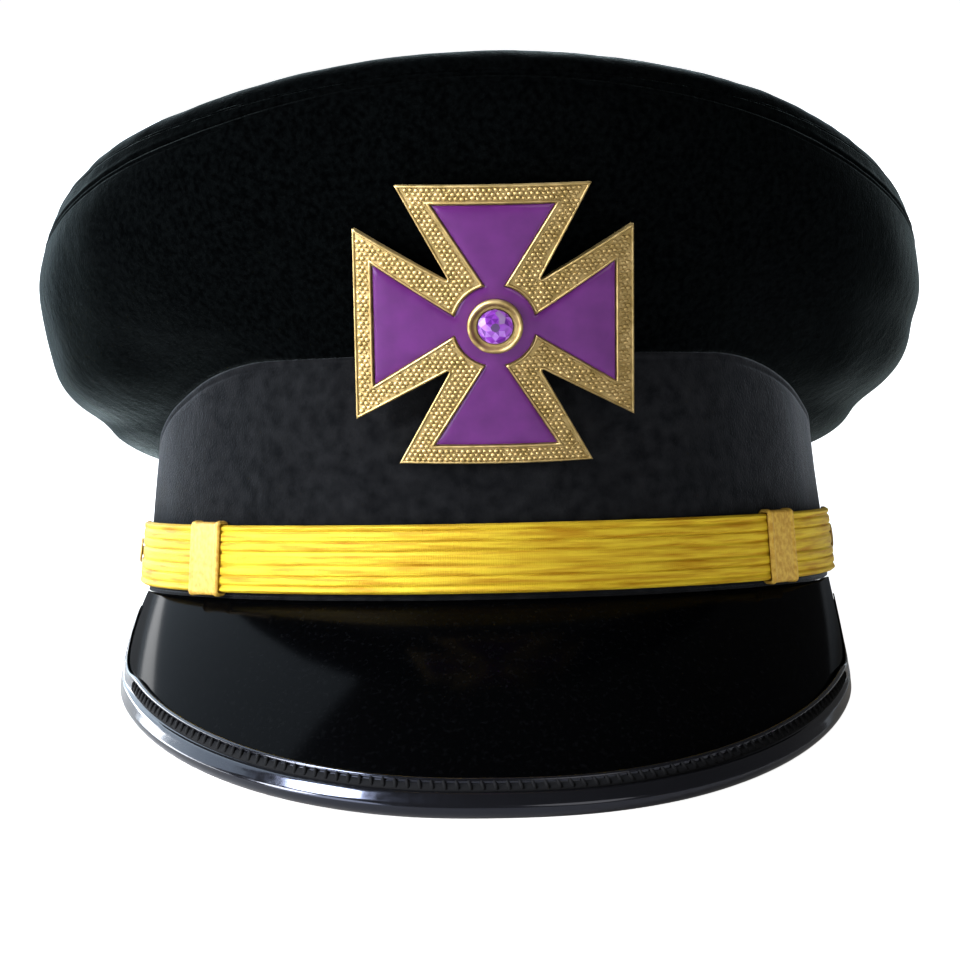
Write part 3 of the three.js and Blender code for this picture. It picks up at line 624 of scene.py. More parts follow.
binding_frames = []
edge_line = peak_middle(peak_angles, peak_reach(peak_angles))
for i in range(1, PEAK_ROWS):
    if peak_reach(peak_angles[i]) < BINDING_STARTS:
        continue
    before = unit(edge_line[i] - edge_line[i - 1])
    along = unit(before + unit(edge_line[i + 1] - edge_line[i]))
    angle = peak_angles[i : i + 1]
    away = unit(np.cross(along, normal_of(peak_middle, angle, peak_reach(angle))[0]))
    thins_from = PEAK_END - BINDING_THINS_FROM * PEAK_CORNER
    thins_to = PEAK_END - BINDING_THINS_TO * PEAK_CORNER
    corner = smooth_step(abs(angle[0]), thins_from, thins_to)
    leg = 1 + (BINDING_CORNER_LEG - 1) * corner
    binding_frames.append((edge_line[i], away, np.cross(away, along), leg, 1 / (along @ before)))

binding_rows = []
for at, away, up, leg, stretch in binding_frames:
    step, height = binding_section[:, 0], binding_section[:, 1]
    thin = BINDING_END_THIN * (1 - leg) / (1 - BINDING_CORNER_LEG)
    step = np.where(step < 0, step * leg, step - np.maximum(step - BINDING_NEAR, 0) * thin)
    height = height - np.sign(height) * np.maximum(np.abs(height) - BINDING_SLOT, 0) * thin
    binding_rows.append(at + np.outer(step * stretch, away) + np.outer(height, up))
binding_piece = lofted("peak_binding_patent", np.array(binding_rows), binding_patent, False, True)
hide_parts("peak_binding")

# The stitches: black thread that fills the groove, and slants out of it over the bead's flank.
STITCH_PITCH = 2.8
STITCH_RADIUS = 0.5
STITCH_LIFT = 0.1
STITCHED_LEG = 0.95
# Each end of a stitch, as how far in from the edge, how far up and how far along.
STITCH_ENDS = [(3.6, 1.8, 0.5), (6.0, 2.3, -0.35)]
SEAM_SECTION = [(-3.2, 1.7), (-3.35, 1.97), (-3.9, 2.08), (-4.6, 2.08)]
SEAM_SECTION += [(-5.25, 2.0), (-5.45, 1.85), (-5.4, 1.7)]
STITCH_SIDES = 6
STITCH_RINGS = [(0, 0.4), (0.12, 0.9), (0.35, 1), (0.65, 0.95), (0.85, 0.6), (1, 0.2)]

thread, tree, shader = new_material(
    "waxed black thread", (0.001, 0.001, 0.0015), 0.8, Specular_IOR_Level=0.1
)
relief(tree, shader, (noise(tree, 0.3, 1.0), 0.04))
tint(tree, shader, noise(tree, 0.8, 2.0), (0.0006, 0.0006, 0.0008), (0.002, 0.002, 0.0026))


def ring_faces(rings, sides, first=0):
    """The faces between rings of points that follow one another."""
    faces = []
    for start in range(first, first + (rings - 1) * sides, sides):
        for k in range(sides):
            a, b = start + k, start + (k + 1) % sides
            faces.append([a, b, b + sides, a + sides])
    return faces


def stitches(name, ends, radius, lift, material):
    """One mesh of short lengths of thread. Each runs between two points, arched along its up."""
    turn = full_turn(STITCH_SIDES)
    points, faces = [], []
    for start, end, up in ends:
        side = np.cross(unit(end - start), up)
        first = len(points)
        for share, size in STITCH_RINGS:
            middle = start + (end - start) * share + up * lift * math.sin(math.pi * share)
            ring = np.outer(np.cos(turn), side) + np.outer(np.sin(turn), up)
            points += list(middle + ring * radius * size)
        faces += ring_faces(len(STITCH_RINGS), STITCH_SIDES, first)
        faces.append(list(range(first, first + STITCH_SIDES)))
        faces.append(list(range(len(points) - STITCH_SIDES, len(points))))
    return made_up(name, placed(points), faces, material)


frame_steps = [np.linalg.norm(b[0] - a[0]) for a, b in zip(binding_frames, binding_frames[1:])]
frame_run = np.concatenate([[0], np.cumsum(frame_steps)])
binding_ends = []
for run in np.arange(STITCH_PITCH * 2, frame_run[-1] - STITCH_PITCH * 2, STITCH_PITCH):
    k = int(np.searchsorted(frame_run, run))
    share = (run - frame_run[k - 1]) / (frame_run[k] - frame_run[k - 1])
    before, after = binding_frames[k - 1], binding_frames[k]
    at, away, up, leg = (before[n] + (after[n] - before[n]) * share for n in range(4))
    along = np.cross(up, away)
    if leg < STITCHED_LEG:
        continue
    start, end = (at - away * inward + up * high + along * on for inward, high, on in STITCH_ENDS)
    binding_ends.append((start, end, up))
stitch_piece = stitches("binding_stitches", binding_ends, STITCH_RADIUS, STITCH_LIFT, thread)

seam_section = np.array(SEAM_SECTION)
seam_rows = [
    at + np.outer(seam_section[:, 0] * leg * stretch, away) + np.outer(seam_section[:, 1], up)
    for at, away, up, leg, stretch in binding_frames
    if leg > STITCHED_LEG
]
seam_piece = lofted("binding_seam_thread", np.array(seam_rows), thread, False, True)

# Strap
# Flat lace woven from gilt thread over cords, which show as ribs, with a thin cord along each
# edge. It lies round the front of the band from one stud to the other.
STRAP_WIDTH = 16
STRAP_WALL = 1.5
STRAP_LOWER_EDGE = 1.2
STRAP_END = math.radians(91)
STRAP_END_ROUND = math.radians(9)
STRAP_ROWS = 420
STRAP_COLUMNS = 96
STRAP_GROOVES = [(1.6, 0.4), (4.0, 0.22), (6.35, 0.38), (9.65, 0.38), (12.0, 0.22), (14.4, 0.4)]
STRAP_GROOVE_DEPTH = 0.5
STRAP_MIDDLE = (6.6, 9.4)
STRAP_MIDDLE_DEPTH = 0.16
STRAP_EDGE_DEPTH = 0.75
STRAP_EDGE_ROUND = 0.55
STRAP_BACK_STEPS = 9
STRAP_END_LEAST = 0.2
STRAP_CROWDING = 1.22
STANDOFF_FRONT = 0.35
STANDOFF_SLIDE = 1.25
STANDOFF_END = 0.5
STANDOFF_RISES_FROM = math.radians(30)
STANDOFF_FALLS = (math.radians(68), math.radians(83))
LACE_THREADS = 2 * math.pi / (20 * 0.55e-3)
SLIDE_FROM = math.radians(45.7)
SLIDE_TO = math.radians(52.9)

LACE_DEEP = (0.37, 0.18, 0.0035)
LACE_BRIGHT = (0.61, 0.44, 0.025)
lace, tree, shader = new_material(
    "gilt lace", (0.8, 0.5, 0.06), 0.5, Metallic=0.15, Specular_IOR_Level=0.1
)
lengths = add_node(tree, "UVMap", uv_map="lengths").outputs["UV"]
threads = add_node(
    tree, "TexWave", {"Vector": lengths, "Scale": LACE_THREADS, "Distortion": 1.5, "Detail": 2.0}
)
streaks = add_node(tree, "Mapping", {"Vector": lengths, "Scale": (0.06, 1, 1)}).outputs["Vector"]
relief(
    tree,
    shader,
    (threads.outputs["Fac"], 0.035),
    (noise(tree, 0.55, 2.0, lengths), 0.07),
    (noise(tree, 0.8, 2.0, streaks), 0.09),
)
tint(tree, shader, noise(tree, 1.0, 4.0, streaks), LACE_DEEP, LACE_BRIGHT, 0.3, 0.6)


def strap_standoff(angle):
    side = np.abs(angle)
    to_slide = smooth_step(side, STANDOFF_RISES_FROM, SLIDE_FROM)
    to_end = smooth_step(side, *STANDOFF_FALLS)
    before_end = STANDOFF_FRONT + (STANDOFF_SLIDE - STANDOFF_FRONT) * to_slide
    return before_end + (STANDOFF_END - before_end) * to_end


def on_strap(angle, across, up):
    return around(angle, band_out(angle, up) + strap_standoff(angle) + across, up)


face_up = np.linspace(0, STRAP_WIDTH, STRAP_COLUMNS + 1)
face_across = np.full_like(face_up, float(STRAP_WALL))
for groove, half in STRAP_GROOVES:
    face_across -= STRAP_GROOVE_DEPTH * hump(face_up, groove, half)
in_middle = (face_up > STRAP_MIDDLE[0]) & (face_up < STRAP_MIDDLE[1])
face_across -= STRAP_MIDDLE_DEPTH * in_middle
from_edge = np.minimum(face_up, STRAP_WIDTH - face_up)
face_across -= STRAP_EDGE_DEPTH * (1 - smooth_step(from_edge, 0, STRAP_EDGE_ROUND))
back_up = np.linspace(STRAP_WIDTH, 0, STRAP_BACK_STEPS)
section_up = np.concatenate([face_up, back_up])
section_across = np.concatenate([face_across, np.zeros(STRAP_BACK_STEPS)])
crowded = np.sin(np.linspace(-STRAP_CROWDING, STRAP_CROWDING, STRAP_ROWS + 1))
strap_angles = STRAP_END * crowded / math.sin(STRAP_CROWDING)
past = np.maximum(0, np.abs(strap_angles) - (STRAP_END - STRAP_END_ROUND)) / STRAP_END_ROUND
width = np.maximum(np.sqrt(1 - np.minimum(past, 1) ** 2), STRAP_END_LEAST)
strap_middle = STRAP_LOWER_EDGE + STRAP_WIDTH / 2
strap_up = strap_middle + (section_up[None, :] - STRAP_WIDTH / 2) * width[:, None]
strap_grid = on_strap(strap_angles[:, None], section_across[None, :], strap_up)
steps_along = np.linalg.norm(np.diff(strap_grid[:, 0], axis=0), axis=-1)
along = np.concatenate([[0], np.cumsum(steps_along)])
across = np.concatenate([section_up, [0]])

strap_piece = lofted("strap_lace", strap_grid, lace, False, True, along, across)
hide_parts("strap")

# Slides
# A flat loop of gilt lace on each side of the strap, which holds its two layers together.
SLIDE_WALL = 0.6
SLIDE_GAP = 0.3
SLIDE_ROWS = 41
SLIDE_CORD_SHARE = 0.16
SLIDE_CORNER_STEPS = 7
SLIDE_CORNER = 0.25
SLIDE_CORNER_GROWTH = 0.9
SLIDE_FACE_THICKNESS = 0.75
SLIDE_CORD_THICKNESS = 1.25
SLIDE_EDGE_THICKNESS = 0.4
SLIDE_BACK_ROWS = 4

slide_gilt, tree, shader = new_material(
    "gilt slide", (0.86, 0.6, 0.12), 0.5, Metallic=0.15, Specular_IOR_Level=0.3
)
lengths = add_node(tree, "UVMap", uv_map="lengths").outputs["UV"]
relief(tree, shader, (noise(tree, 0.5, 2.0, lengths), 0.06), (noise(tree, 4, 1.0, lengths), 0.1))
tint(tree, shader, noise(tree, 1.2, 3.0), (0.46, 0.25, 0.026), (0.64, 0.42, 0.07))


def slide_loop(margin):
    """A rounded rectangle round the strap's section, as across and up."""
    corner = SLIDE_CORNER + SLIDE_CORNER_GROWTH * margin
    low_across, high_across = -margin + corner, STRAP_WALL + margin - corner
    low_up = STRAP_LOWER_EDGE - margin + corner
    high_up = STRAP_LOWER_EDGE + STRAP_WIDTH + margin - corner
    loop = []
    centres = [(high_across, low_up), (high_across, high_up), (low_across, high_up), (low_across, low_up)]
    for quarter, (at_across, at_up) in enumerate(centres):
        for t in np.linspace(-math.pi / 2, 0, SLIDE_CORNER_STEPS) + quarter * math.pi / 2:
            loop.append((at_across + corner * math.cos(t), at_up + corner * math.sin(t)))
    return np.array(loop)


def slide_grid(side):
    face_shares = np.linspace(0, 1, SLIDE_ROWS)
    from_side = (1 - np.abs(2 * face_shares - 1)) / SLIDE_CORD_SHARE
    cord = np.sqrt(np.clip(1 - (from_side - 1) ** 2, 0, 1)) * (from_side < 2)
    face_swell = SLIDE_WALL * SLIDE_FACE_THICKNESS * np.minimum(1, from_side + SLIDE_EDGE_THICKNESS)
    swell = np.maximum(face_swell, SLIDE_WALL * SLIDE_CORD_THICKNESS * cord)
    margins = [SLIDE_GAP + s for s in swell] + [SLIDE_GAP] * SLIDE_BACK_ROWS
    spots = list(face_shares) + list(np.linspace(1, 0, SLIDE_BACK_ROWS))
    columns = []
    for margin, spot in zip(margins, spots):
        loop = slide_loop(margin)
        angle = side * (SLIDE_FROM + (SLIDE_TO - SLIDE_FROM) * spot)
        columns.append(on_strap(np.full(len(loop), angle), loop[:, 0], loop[:, 1]))
    return np.stack(columns, 1)


for place, side in (("left", -1), ("right", 1)):
    grid = slide_grid(side)
    round_loop = np.arange(grid.shape[0] + 1) * 0.8
    over_width = np.arange(grid.shape[1] + 1) * 0.4
    slide_piece = lofted(f"slide_{place}_gilt", grid, slide_gilt, True, True, round_loop, over_width)
    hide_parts(f"slide_{place}")

# Strap studs
# A flat gilt rivet with a turned head at each end of the strap, driven through the band.
STUD_ANGLE = math.radians(85)
STUD_PROFILE = [(0, -2.6), (1.1, -2.6), (1.1, 2.05), (2.9, 2.05), (3.1, 2.1), (3.2, 2.2), (3.18, 2.4)]
STUD_PROFILE += [(3.05, 2.52), (2.8, 2.6), (2.5, 2.65), (2.2, 2.63), (2.0, 2.67), (1.2, 2.7), (0, 2.72)]
STUD_SIDES = 48

gilt, tree, shader = new_material(
    "gilt metal", (0.72, 0.55, 0.3), 0.38, Metallic=1.0, Specular_IOR_Level=0.5
)
tree.links.new(spread(tree, noise(tree, 1.8, 4.0), 0.48, 0.6), shader.inputs["Roughness"])
tint(tree, shader, noise(tree, 3.0, 4.0), (0.36, 0.255, 0.093), (0.51, 0.375, 0.165))
relief(tree, shader, (noise(tree, 0.8, 3.0), 0.02))


def turned_grid(profile, sides):
    """A turned piece about Z, as rows of points round it for each point of its profile."""
    turn = full_turn(sides)
    radius, up = np.array(profile, float).T
    x = radius[:, None] * np.cos(turn)
    y = radius[:, None] * np.sin(turn)
    return np.stack([x, y, np.broadcast_to(up[:, None], x.shape)], -1)


for place, side in (("left", -1), ("right", 1)):
    angle = np.array(side * STUD_ANGLE)
    out = around(angle, 1.0, 0.0) - around(angle, 0.0, 0.0)
    axis = Vector((out[0], out[1], -float(band_out(angle, 1)))).normalized()
    turn = np.array(axis.to_track_quat("Z", "Y").to_matrix())
    at = around(angle, band_out(angle, strap_middle), strap_middle)
    grid = turned_grid(STUD_PROFILE, STUD_SIDES) @ turn.T + at
    stud_piece = lofted(f"stud_{place}_rivet", grid, gilt, False, True)
    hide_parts(f"strap_stud_{place}")

# Badge plate
# A cross die-struck in gilding metal, bent to the crown's curve, with a post behind it. Its border
# is struck with pebbles between a plain rim and the wire that holds the enamel.
BADGE_HALF_SIZE = 31.9
BADGE_ARM_HALF_END = 22
BADGE_NOTCH = 9.9
BADGE_NOTCH_ROUND = 1.6
BADGE_BASE = 1
BADGE_TOP = 1.8
BADGE_BEND_RADIUS = 95
BADGE_CENTRE_UP = 62.4
BADGE_LOWER_UP = 31.2
BADGE_STANDOFF = 0.5
BADGE_LEAN = math.radians(12.5)
ENAMEL_HALF_SIZE = 27.4
ENAMEL_ARM_HALF_END = 13.7
ENAMEL_NECK_HALF = 2.1
ENAMEL_DISC_RADIUS = 9.2
POCKET_CLEARANCE = 0.25
POST_RADIUS = 2
POST_LENGTH = 9.5
OUTLINE_STEP = 1.2
PLATE_SPACING = 2.4

badge_turn = Matrix.Rotation(math.radians(90) + BADGE_LEAN, 3, "X")
badge_lower_out = float(band_out(np.array(0.0), BADGE_LOWER_UP)) + BADGE_STANDOFF
badge_out = badge_lower_out + (BADGE_CENTRE_UP - BADGE_LOWER_UP) * math.tan(BADGE_LEAN)
badge_at = around(np.array(0.0), badge_out, BADGE_CENTRE_UP)


def on_badge(points):
    """Points drawn flat about the badge's centre, Z out of its face, bent and set on the cap."""
    flat = np.asarray(points, float).reshape(-1, 3)
    radius = BADGE_BEND_RADIUS + flat[:, 2]
    turn = flat[:, 0] / BADGE_BEND_RADIUS
    sunk = radius * np.cos(turn) - BADGE_BEND_RADIUS
    bent = np.stack([radius * np.sin(turn), flat[:, 1], sunk], -1)
    return placed(bent @ np.array(badge_turn).T + badge_at)


def on_each_arm(points):
    arms = []
    for arm in range(4):
        turn = -arm * math.pi / 2
        cos, sin = math.cos(turn), math.sin(turn)
        arms += [(x * cos - y * sin, x * sin + y * cos) for x, y in points]
    return np.array(arms)


def cross_outline(inset=0.0):
    corner = np.array([BADGE_ARM_HALF_END, BADGE_HALF_SIZE], float)
    notch = np.array([BADGE_NOTCH, BADGE_NOTCH], float)
    next_corner = corner[::-1]
    into = (corner - notch) / np.linalg.norm(corner - notch) * BADGE_NOTCH_ROUND
    out_of = (next_corner - notch) / np.linalg.norm(next_corner - notch) * BADGE_NOTCH_ROUND
    bend = [notch + into * (1 - t) ** 2 + out_of * t**2 for t in np.linspace(0, 1, 7)]
    return on_each_arm([(-corner[0], corner[1]), tuple(corner), *map(tuple, bend)])


def enamel_outline(clearance):
    half = ENAMEL_ARM_HALF_END + clearance * 1.6
    end = ENAMEL_HALF_SIZE + clearance
    radius = ENAMEL_DISC_RADIUS + clearance
    neck = math.acos((ENAMEL_NECK_HALF + clearance) / radius)
    arc = [
        (radius * math.cos(t), radius * math.sin(t))
        for t in np.linspace(neck, math.pi / 2 - neck, 12)
    ]
    return on_each_arm([(-half, end), (half, end), *arc])


def ring_outline(radius, sides=64):
    turn = -full_turn(sides)
    return np.stack([radius * np.cos(turn), radius * np.sin(turn)], -1)


def walked(outline, step):
    """The same outline with more points along it, no further apart than the step."""
    points = []
    for a, b in zip(outline, np.roll(outline, -1, 0)):
        count = max(1, math.ceil(np.linalg.norm(b - a) / step))
        points += [a + (b - a) * k / count for k in range(count)]
    return np.array(points)


def within(points, outline):
    x, y = points[:, None, 0], points[:, None, 1]
    x1, y1 = outline[None, :, 0], outline[None, :, 1]
    x2, y2 = np.roll(x1, -1, 1), np.roll(y1, -1, 1)
    crosses = (y1 > y) != (y2 > y)
    at = x1 + (y - y1) * (x2 - x1) / np.where(y2 == y1, 1e-9, y2 - y1)
    return (crosses & (x < at)).sum(1) % 2 == 1


def edge_distance(points, outline):
    a, b = outline[None], np.roll(outline, -1, 0)[None]
    step = b - a
    share = ((points[:, None] - a) * step).sum(-1) / (step**2).sum(-1)
    nearest = a + step * np.clip(share, 0, 1)[..., None]
    return np.linalg.norm(points[:, None] - nearest, axis=-1).min(1)


def brick_rows(reach, pitch, row_step):
    """Points in rows over a square. Every second row is shifted by half a pitch."""
    rows = np.arange(-reach, reach, row_step)
    places = np.arange(-reach, reach, pitch)
    return np.array([(x + (k % 2) * pitch / 2, y) for k, y in enumerate(rows) for x in places])


def inner_points(outlines, spacing, insets):
    """Points between the outlines: rows that follow each outline, and an even spread elsewhere."""
    found = [brick_rows(np.abs(outlines[0]).max(), spacing, spacing * 0.87)]
    least = [max(insets, default=0) + spacing * 0.5]
    for outline in outlines:
        after, before = np.roll(outline, -1, 0), np.roll(outline, 1, 0)
        run = after - before
        sideways = np.stack([-run[:, 1], run[:, 0]], -1) / np.linalg.norm(run, axis=1, keepdims=True)
        for inset in insets:
            for way in (-1, 1):
                found.append(outline + sideways * inset * way)
                least.append(inset * 0.93)
    kept = []
    for points, apart in zip(found, least):
        good = within(points, outlines[0])
        for outline in outlines:
            good &= edge_distance(points, outline) >= apart
        kept.append(points[good])
    return np.concatenate(kept)


def stamped(name, outlines, tops, bottom, material, spacing, insets=(), extra=()):
    """A flat solid with stepped tops. A top is the height between one outline and the next, as a
    function of the points, or None for a hole. Extra is more closed meshes to join to it."""
    loops = [walked(outline, OUTLINE_STEP) for outline in outlines]
    edges, count = [], 0
    for loop in loops:
        edges += [(count + k, count + (k + 1) % len(loop)) for k in range(len(loop))]
        count += len(loop)
    points = np.concatenate([*loops, inner_points(loops, spacing, insets)])
    made = delaunay_2d_cdt([Vector(p) for p in points], edges, [], 0, 1e-6)
    flat, triangles = np.array([tuple(v) for v in made[0]]), made[2]
    centres = np.array([flat[list(t)].mean(0) for t in triangles])
    depth = sum(within(centres, loop).astype(int) for loop in loops)
    vertices, numbers, faces = [], {}, []

    def vertex(k, level):
        if (k, level) not in numbers:
            numbers[k, level] = len(vertices)
            up = bottom if level == 0 else float(tops[level - 1](flat[k : k + 1])[0])
            vertices.append((*flat[k], up))
        return numbers[k, level]

    region_at = {}
    solid_depth = [0 if d == 0 or tops[d - 1] is None else d for d in depth]
    for triangle, region in zip(triangles, solid_depth):
        for a, b in zip(triangle, [*triangle[1:], triangle[0]]):
            region_at[a, b] = region
    for triangle, region in zip(triangles, solid_depth):
        if not region:
            continue
        faces.append([vertex(k, region) for k in triangle])
        faces.append([vertex(k, 0) for k in reversed(triangle)])
        for a, b in zip(triangle, [*triangle[1:], triangle[0]]):
            other = region_at.get((b, a), 0)
            if other < region:
                faces.append([vertex(b, region), vertex(a, region), vertex(a, other), vertex(b, other)])
    vertices = np.array(vertices)
    for more_points, more_faces in extra:
        start = len(vertices)
        vertices = np.concatenate([vertices, more_points])
        faces += [[k + start for k in face] for face in more_faces]
    return made_up(name, on_badge(vertices), faces, material)


def ring_mesh(grid):
    """The points and faces of a turned grid, for joining to another mesh."""
    return grid.reshape(-1, 3), ring_faces(*grid.shape[:2])


def level(height):
    return lambda points: np.full(len(points), float(height))


def sharpened(piece, angle=35):
    """The same piece with its creases kept sharp."""
    piece.data.shade_smooth()
    piece.data.set_sharp_from_angle(angle=math.radians(angle))


post = turned_grid([(0, -POST_LENGTH), (POST_RADIUS, -POST_LENGTH), (POST_RADIUS, 0.5), (0, 0.5)], 24)
plate_outlines = [cross_outline(), enamel_outline(POCKET_CLEARANCE)]
plate_piece = stamped(
    "badge_plate_struck",
    plate_outlines,
    [level(BADGE_TOP), level(BADGE_BASE)],
    0,
    gilt,
    PLATE_SPACING,
    extra=[ring_mesh(post)],
)
sharpened(plate_piece)
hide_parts("badge_plate")

# The plain rim and the enamel's wire: half-round ridges that follow the two outlines.
WIRE_SIDES = 12
RIDGE_RADIUS = 0.3
RIM_RIDGE_HEIGHT = 0.36
RIM_RIDGE_SUNK = 0.02
WIRE_HEIGHT = 0.42


def ridge(name, outline, inset, radius, height, up):
    """A rounded ridge along an outline, set in from it. Its foot is sunk into the plate."""
    line = walked(outline, OUTLINE_STEP)
    before = unit(line - np.roll(line, 1, 0))
    along = unit(before + unit(np.roll(line, -1, 0) - line))
    stretch = 1 / np.maximum((along * before).sum(1), 0.5)
    inward = np.stack([along[:, 1], -along[:, 0]], -1) * stretch[:, None]
    turn = full_turn(WIRE_SIDES)
    away = inset + radius * np.cos(turn)
    grid = np.zeros((len(line), WIRE_SIDES, 3))
    grid[..., :2] = line[:, None] + inward[:, None] * away[None, :, None]
    grid[..., 2] = up + height * np.sin(turn)
    points, faces = ring_mesh(np.concatenate([grid, grid[:1]]))
    piece = made_up(name, on_badge(points), faces, gilt)
    return piece


rim_line, wire_line = cross_outline(), enamel_outline(POCKET_CLEARANCE)
rim_up = BADGE_TOP - RIM_RIDGE_SUNK
ridge("badge_rim_ridge", rim_line, RIDGE_RADIUS, RIDGE_RADIUS, RIM_RIDGE_HEIGHT, rim_up)
ridge("badge_enamel_wire", wire_line, -RIDGE_RADIUS, RIDGE_RADIUS, WIRE_HEIGHT, BADGE_TOP)

# The pebbles: small domes in brick-like rows over the whole border.
PEBBLE_PITCH = 1.25
PEBBLE_ROW = 0.98
PEBBLE_HALF_LONG = 0.6
PEBBLE_HALF_SHORT = 0.49
PEBBLE_HEIGHT = 0.36
PEBBLE_SIDES = 10
PEBBLE_SIZES_VARY = 0.08
PEBBLE_PLACES_VARY = 0.05
PEBBLES_FROM_RIM = 0.92
PEBBLES_FROM_WIRE = 0.95
PEBBLE_RINGS = [(1, -0.15), (0.97, 0.12), (0.8, 0.62), (0.45, 0.92)]

spots = brick_rows(BADGE_HALF_SIZE, PEBBLE_PITCH, PEBBLE_ROW)
on_border = within(spots, rim_line) & ~within(spots, wire_line)
on_border &= edge_distance(spots, rim_line) > PEBBLES_FROM_RIM
on_border &= edge_distance(spots, wire_line) > PEBBLES_FROM_WIRE
spots = spots[on_border]
turn = full_turn(PEBBLE_SIDES)
dome = [
    (PEBBLE_HALF_LONG * size * math.cos(t), PEBBLE_HALF_SHORT * size * math.sin(t), PEBBLE_HEIGHT * up)
    for size, up in PEBBLE_RINGS
    for t in turn
]
dome.append((0, 0, PEBBLE_HEIGHT))
dome_faces = [list(range(PEBBLE_SIDES))[::-1]]
dome_faces += ring_faces(len(PEBBLE_RINGS), PEBBLE_SIDES)
last = (len(PEBBLE_RINGS) - 1) * PEBBLE_SIDES
dome_faces += [[last + k, last + (k + 1) % PEBBLE_SIDES, len(dome) - 1] for k in range(PEBBLE_SIDES)]
draw = np.random.default_rng(31)
sizes = 1 + PEBBLE_SIZES_VARY * draw.normal(size=(len(spots), 1, 1)).clip(-2, 2)
pebbles = np.array(dome)[None] * sizes
shifts = PEBBLE_PLACES_VARY * draw.normal(size=(len(spots), 1, 2))
pebbles[..., :2] += spots[:, None, :] + shifts
pebbles[..., 2] += BADGE_TOP
pebble_faces = [
    [k + n * len(dome) for k in face] for n in range(len(spots)) for face in dome_faces
]
pebble_piece = made_up("badge_pebbles", on_badge(pebbles), pebble_faces, gilt)

# Enamel
# Purple glass enamel, fused into the plate's pocket as one disc with four arms. It has a gloss and
# stands a little proud in the middle of each field, as enamel does when it cools.
ENAMEL_LOW = 1.25
ENAMEL_HIGH = 1.9
ENAMEL_MOTTLE = 0.1
ENAMEL_EDGE_DROP = 0.3
ENAMEL_EDGE_ROUND = 0.35
ENAMEL_CROWN = 0.2
ENAMEL_CROWN_REACH = 3.0
BEZEL_OUTER_RADIUS = 6.1
BEZEL_CLEARANCE = 0.15

enamel, tree, shader = new_material(
    "purple enamel", (0.1, 0.02, 0.14), 0.3, Coat_Weight=0.3, Coat_Roughness=0.1, Specular_IOR_Level=0.1
)
paleness = spread(tree, noise(tree, 5.0, 4.0), 0.0, ENAMEL_MOTTLE)
tint(tree, shader, paleness, (0.09, 0.0145, 0.125), (0.36, 0.075, 0.5), 0.0, 1.0)
relief(tree, shader, (noise(tree, 6.0, 2.0), 0.05))

enamel_loops = [enamel_outline(0), ring_outline(BEZEL_OUTER_RADIUS + BEZEL_CLEARANCE)]


def enamel_top(points):
    from_edge = edge_distance(points, enamel_loops[0])
    drop = ENAMEL_EDGE_DROP * np.exp(-from_edge / ENAMEL_EDGE_ROUND)
    return ENAMEL_HIGH - drop + ENAMEL_CROWN * (1 - np.exp(-from_edge / ENAMEL_CROWN_REACH))


enamel_piece = stamped(
    "badge_enamel_field", enamel_loops, [enamel_top, None], ENAMEL_LOW, enamel, 1.0, (0.2, 0.5, 1.0)
)
sharpened(enamel_piece, 50)
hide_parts("badge_enamel")

# Stone
# A purple paste stone in a plain gilt collar, whose rim is rubbed over its edge. Its facets carry painted
# light and shade. Each facet takes a painted highlight, painted light or painted shade colour at random, and
# the table is painted dark. These colours stand in for the flashes and the dark middle that light makes in a
# cut stone.
STONE_RADIUS = 4
STONE_LOW = 1.8
TABLE_SHARE = 0.26
# How often a facet takes the painted highlight, the painted light or the painted shade colour.
FACET_PAINTED_LIGHT_CHANCES = (0.35, 0.4, 0.25)
BEZEL_PROFILE = [(3.8, 1.1), (6.1, 1.1), (6.15, 3.0), (6.1, 3.4), (5.95, 3.7), (5.75, 3.86)]
BEZEL_PROFILE += [(5.55, 3.88)]
BEZEL_PROFILE += [(5.35, 3.8), (5.2, 3.6), (5.05, 3.25), (4.85, 2.95), (4.6, 2.75), (4.35, 2.7), (4.15, 2.8)]
BEZEL_PROFILE += [(4.05, 2.6), (4.1, 1.6), (3.8, 1.5)]
HAMMER_MARKS = 0.13

bezel_grid = turned_grid(BEZEL_PROFILE + BEZEL_PROFILE[:1], 96)
hammered = unevenness(bezel_grid, 2.2, 41) * smooth_step(bezel_grid[..., 2], 2.4, 3.2)
bezel_grid[..., 2] += HAMMER_MARKS * hammered
bezel_points, bezel_faces = ring_mesh(bezel_grid)
bezel_piece = made_up("badge_bezel", on_badge(bezel_points), bezel_faces, gilt)

# The painted light and shade of the facets: a painted highlight, a painted light, a painted shade, and a
# painted shade for the table.
PASTE_PAINTED_LIGHT_TINTS = {
    "paste facet painted highlight": (0.4, 0.15, 0.68),
    "paste facet painted light": (0.26, 0.045, 0.5),
    "paste facet painted shade": (0.14, 0.02, 0.3),
    "paste table painted shade": (0.06, 0.012, 0.12),
}
painted_light_stone_materials = []
for paste_name, purple in PASTE_PAINTED_LIGHT_TINTS.items():
    paste, tree, shader = new_material(paste_name, purple, 0.12, Coat_Weight=0.8, Coat_Roughness=0.02)
    deeper = tuple(0.7 * channel for channel in purple)
    tint(tree, shader, noise(tree, 1.5, 1.0), deeper, purple)
    painted_light_stone_materials.append(paste)

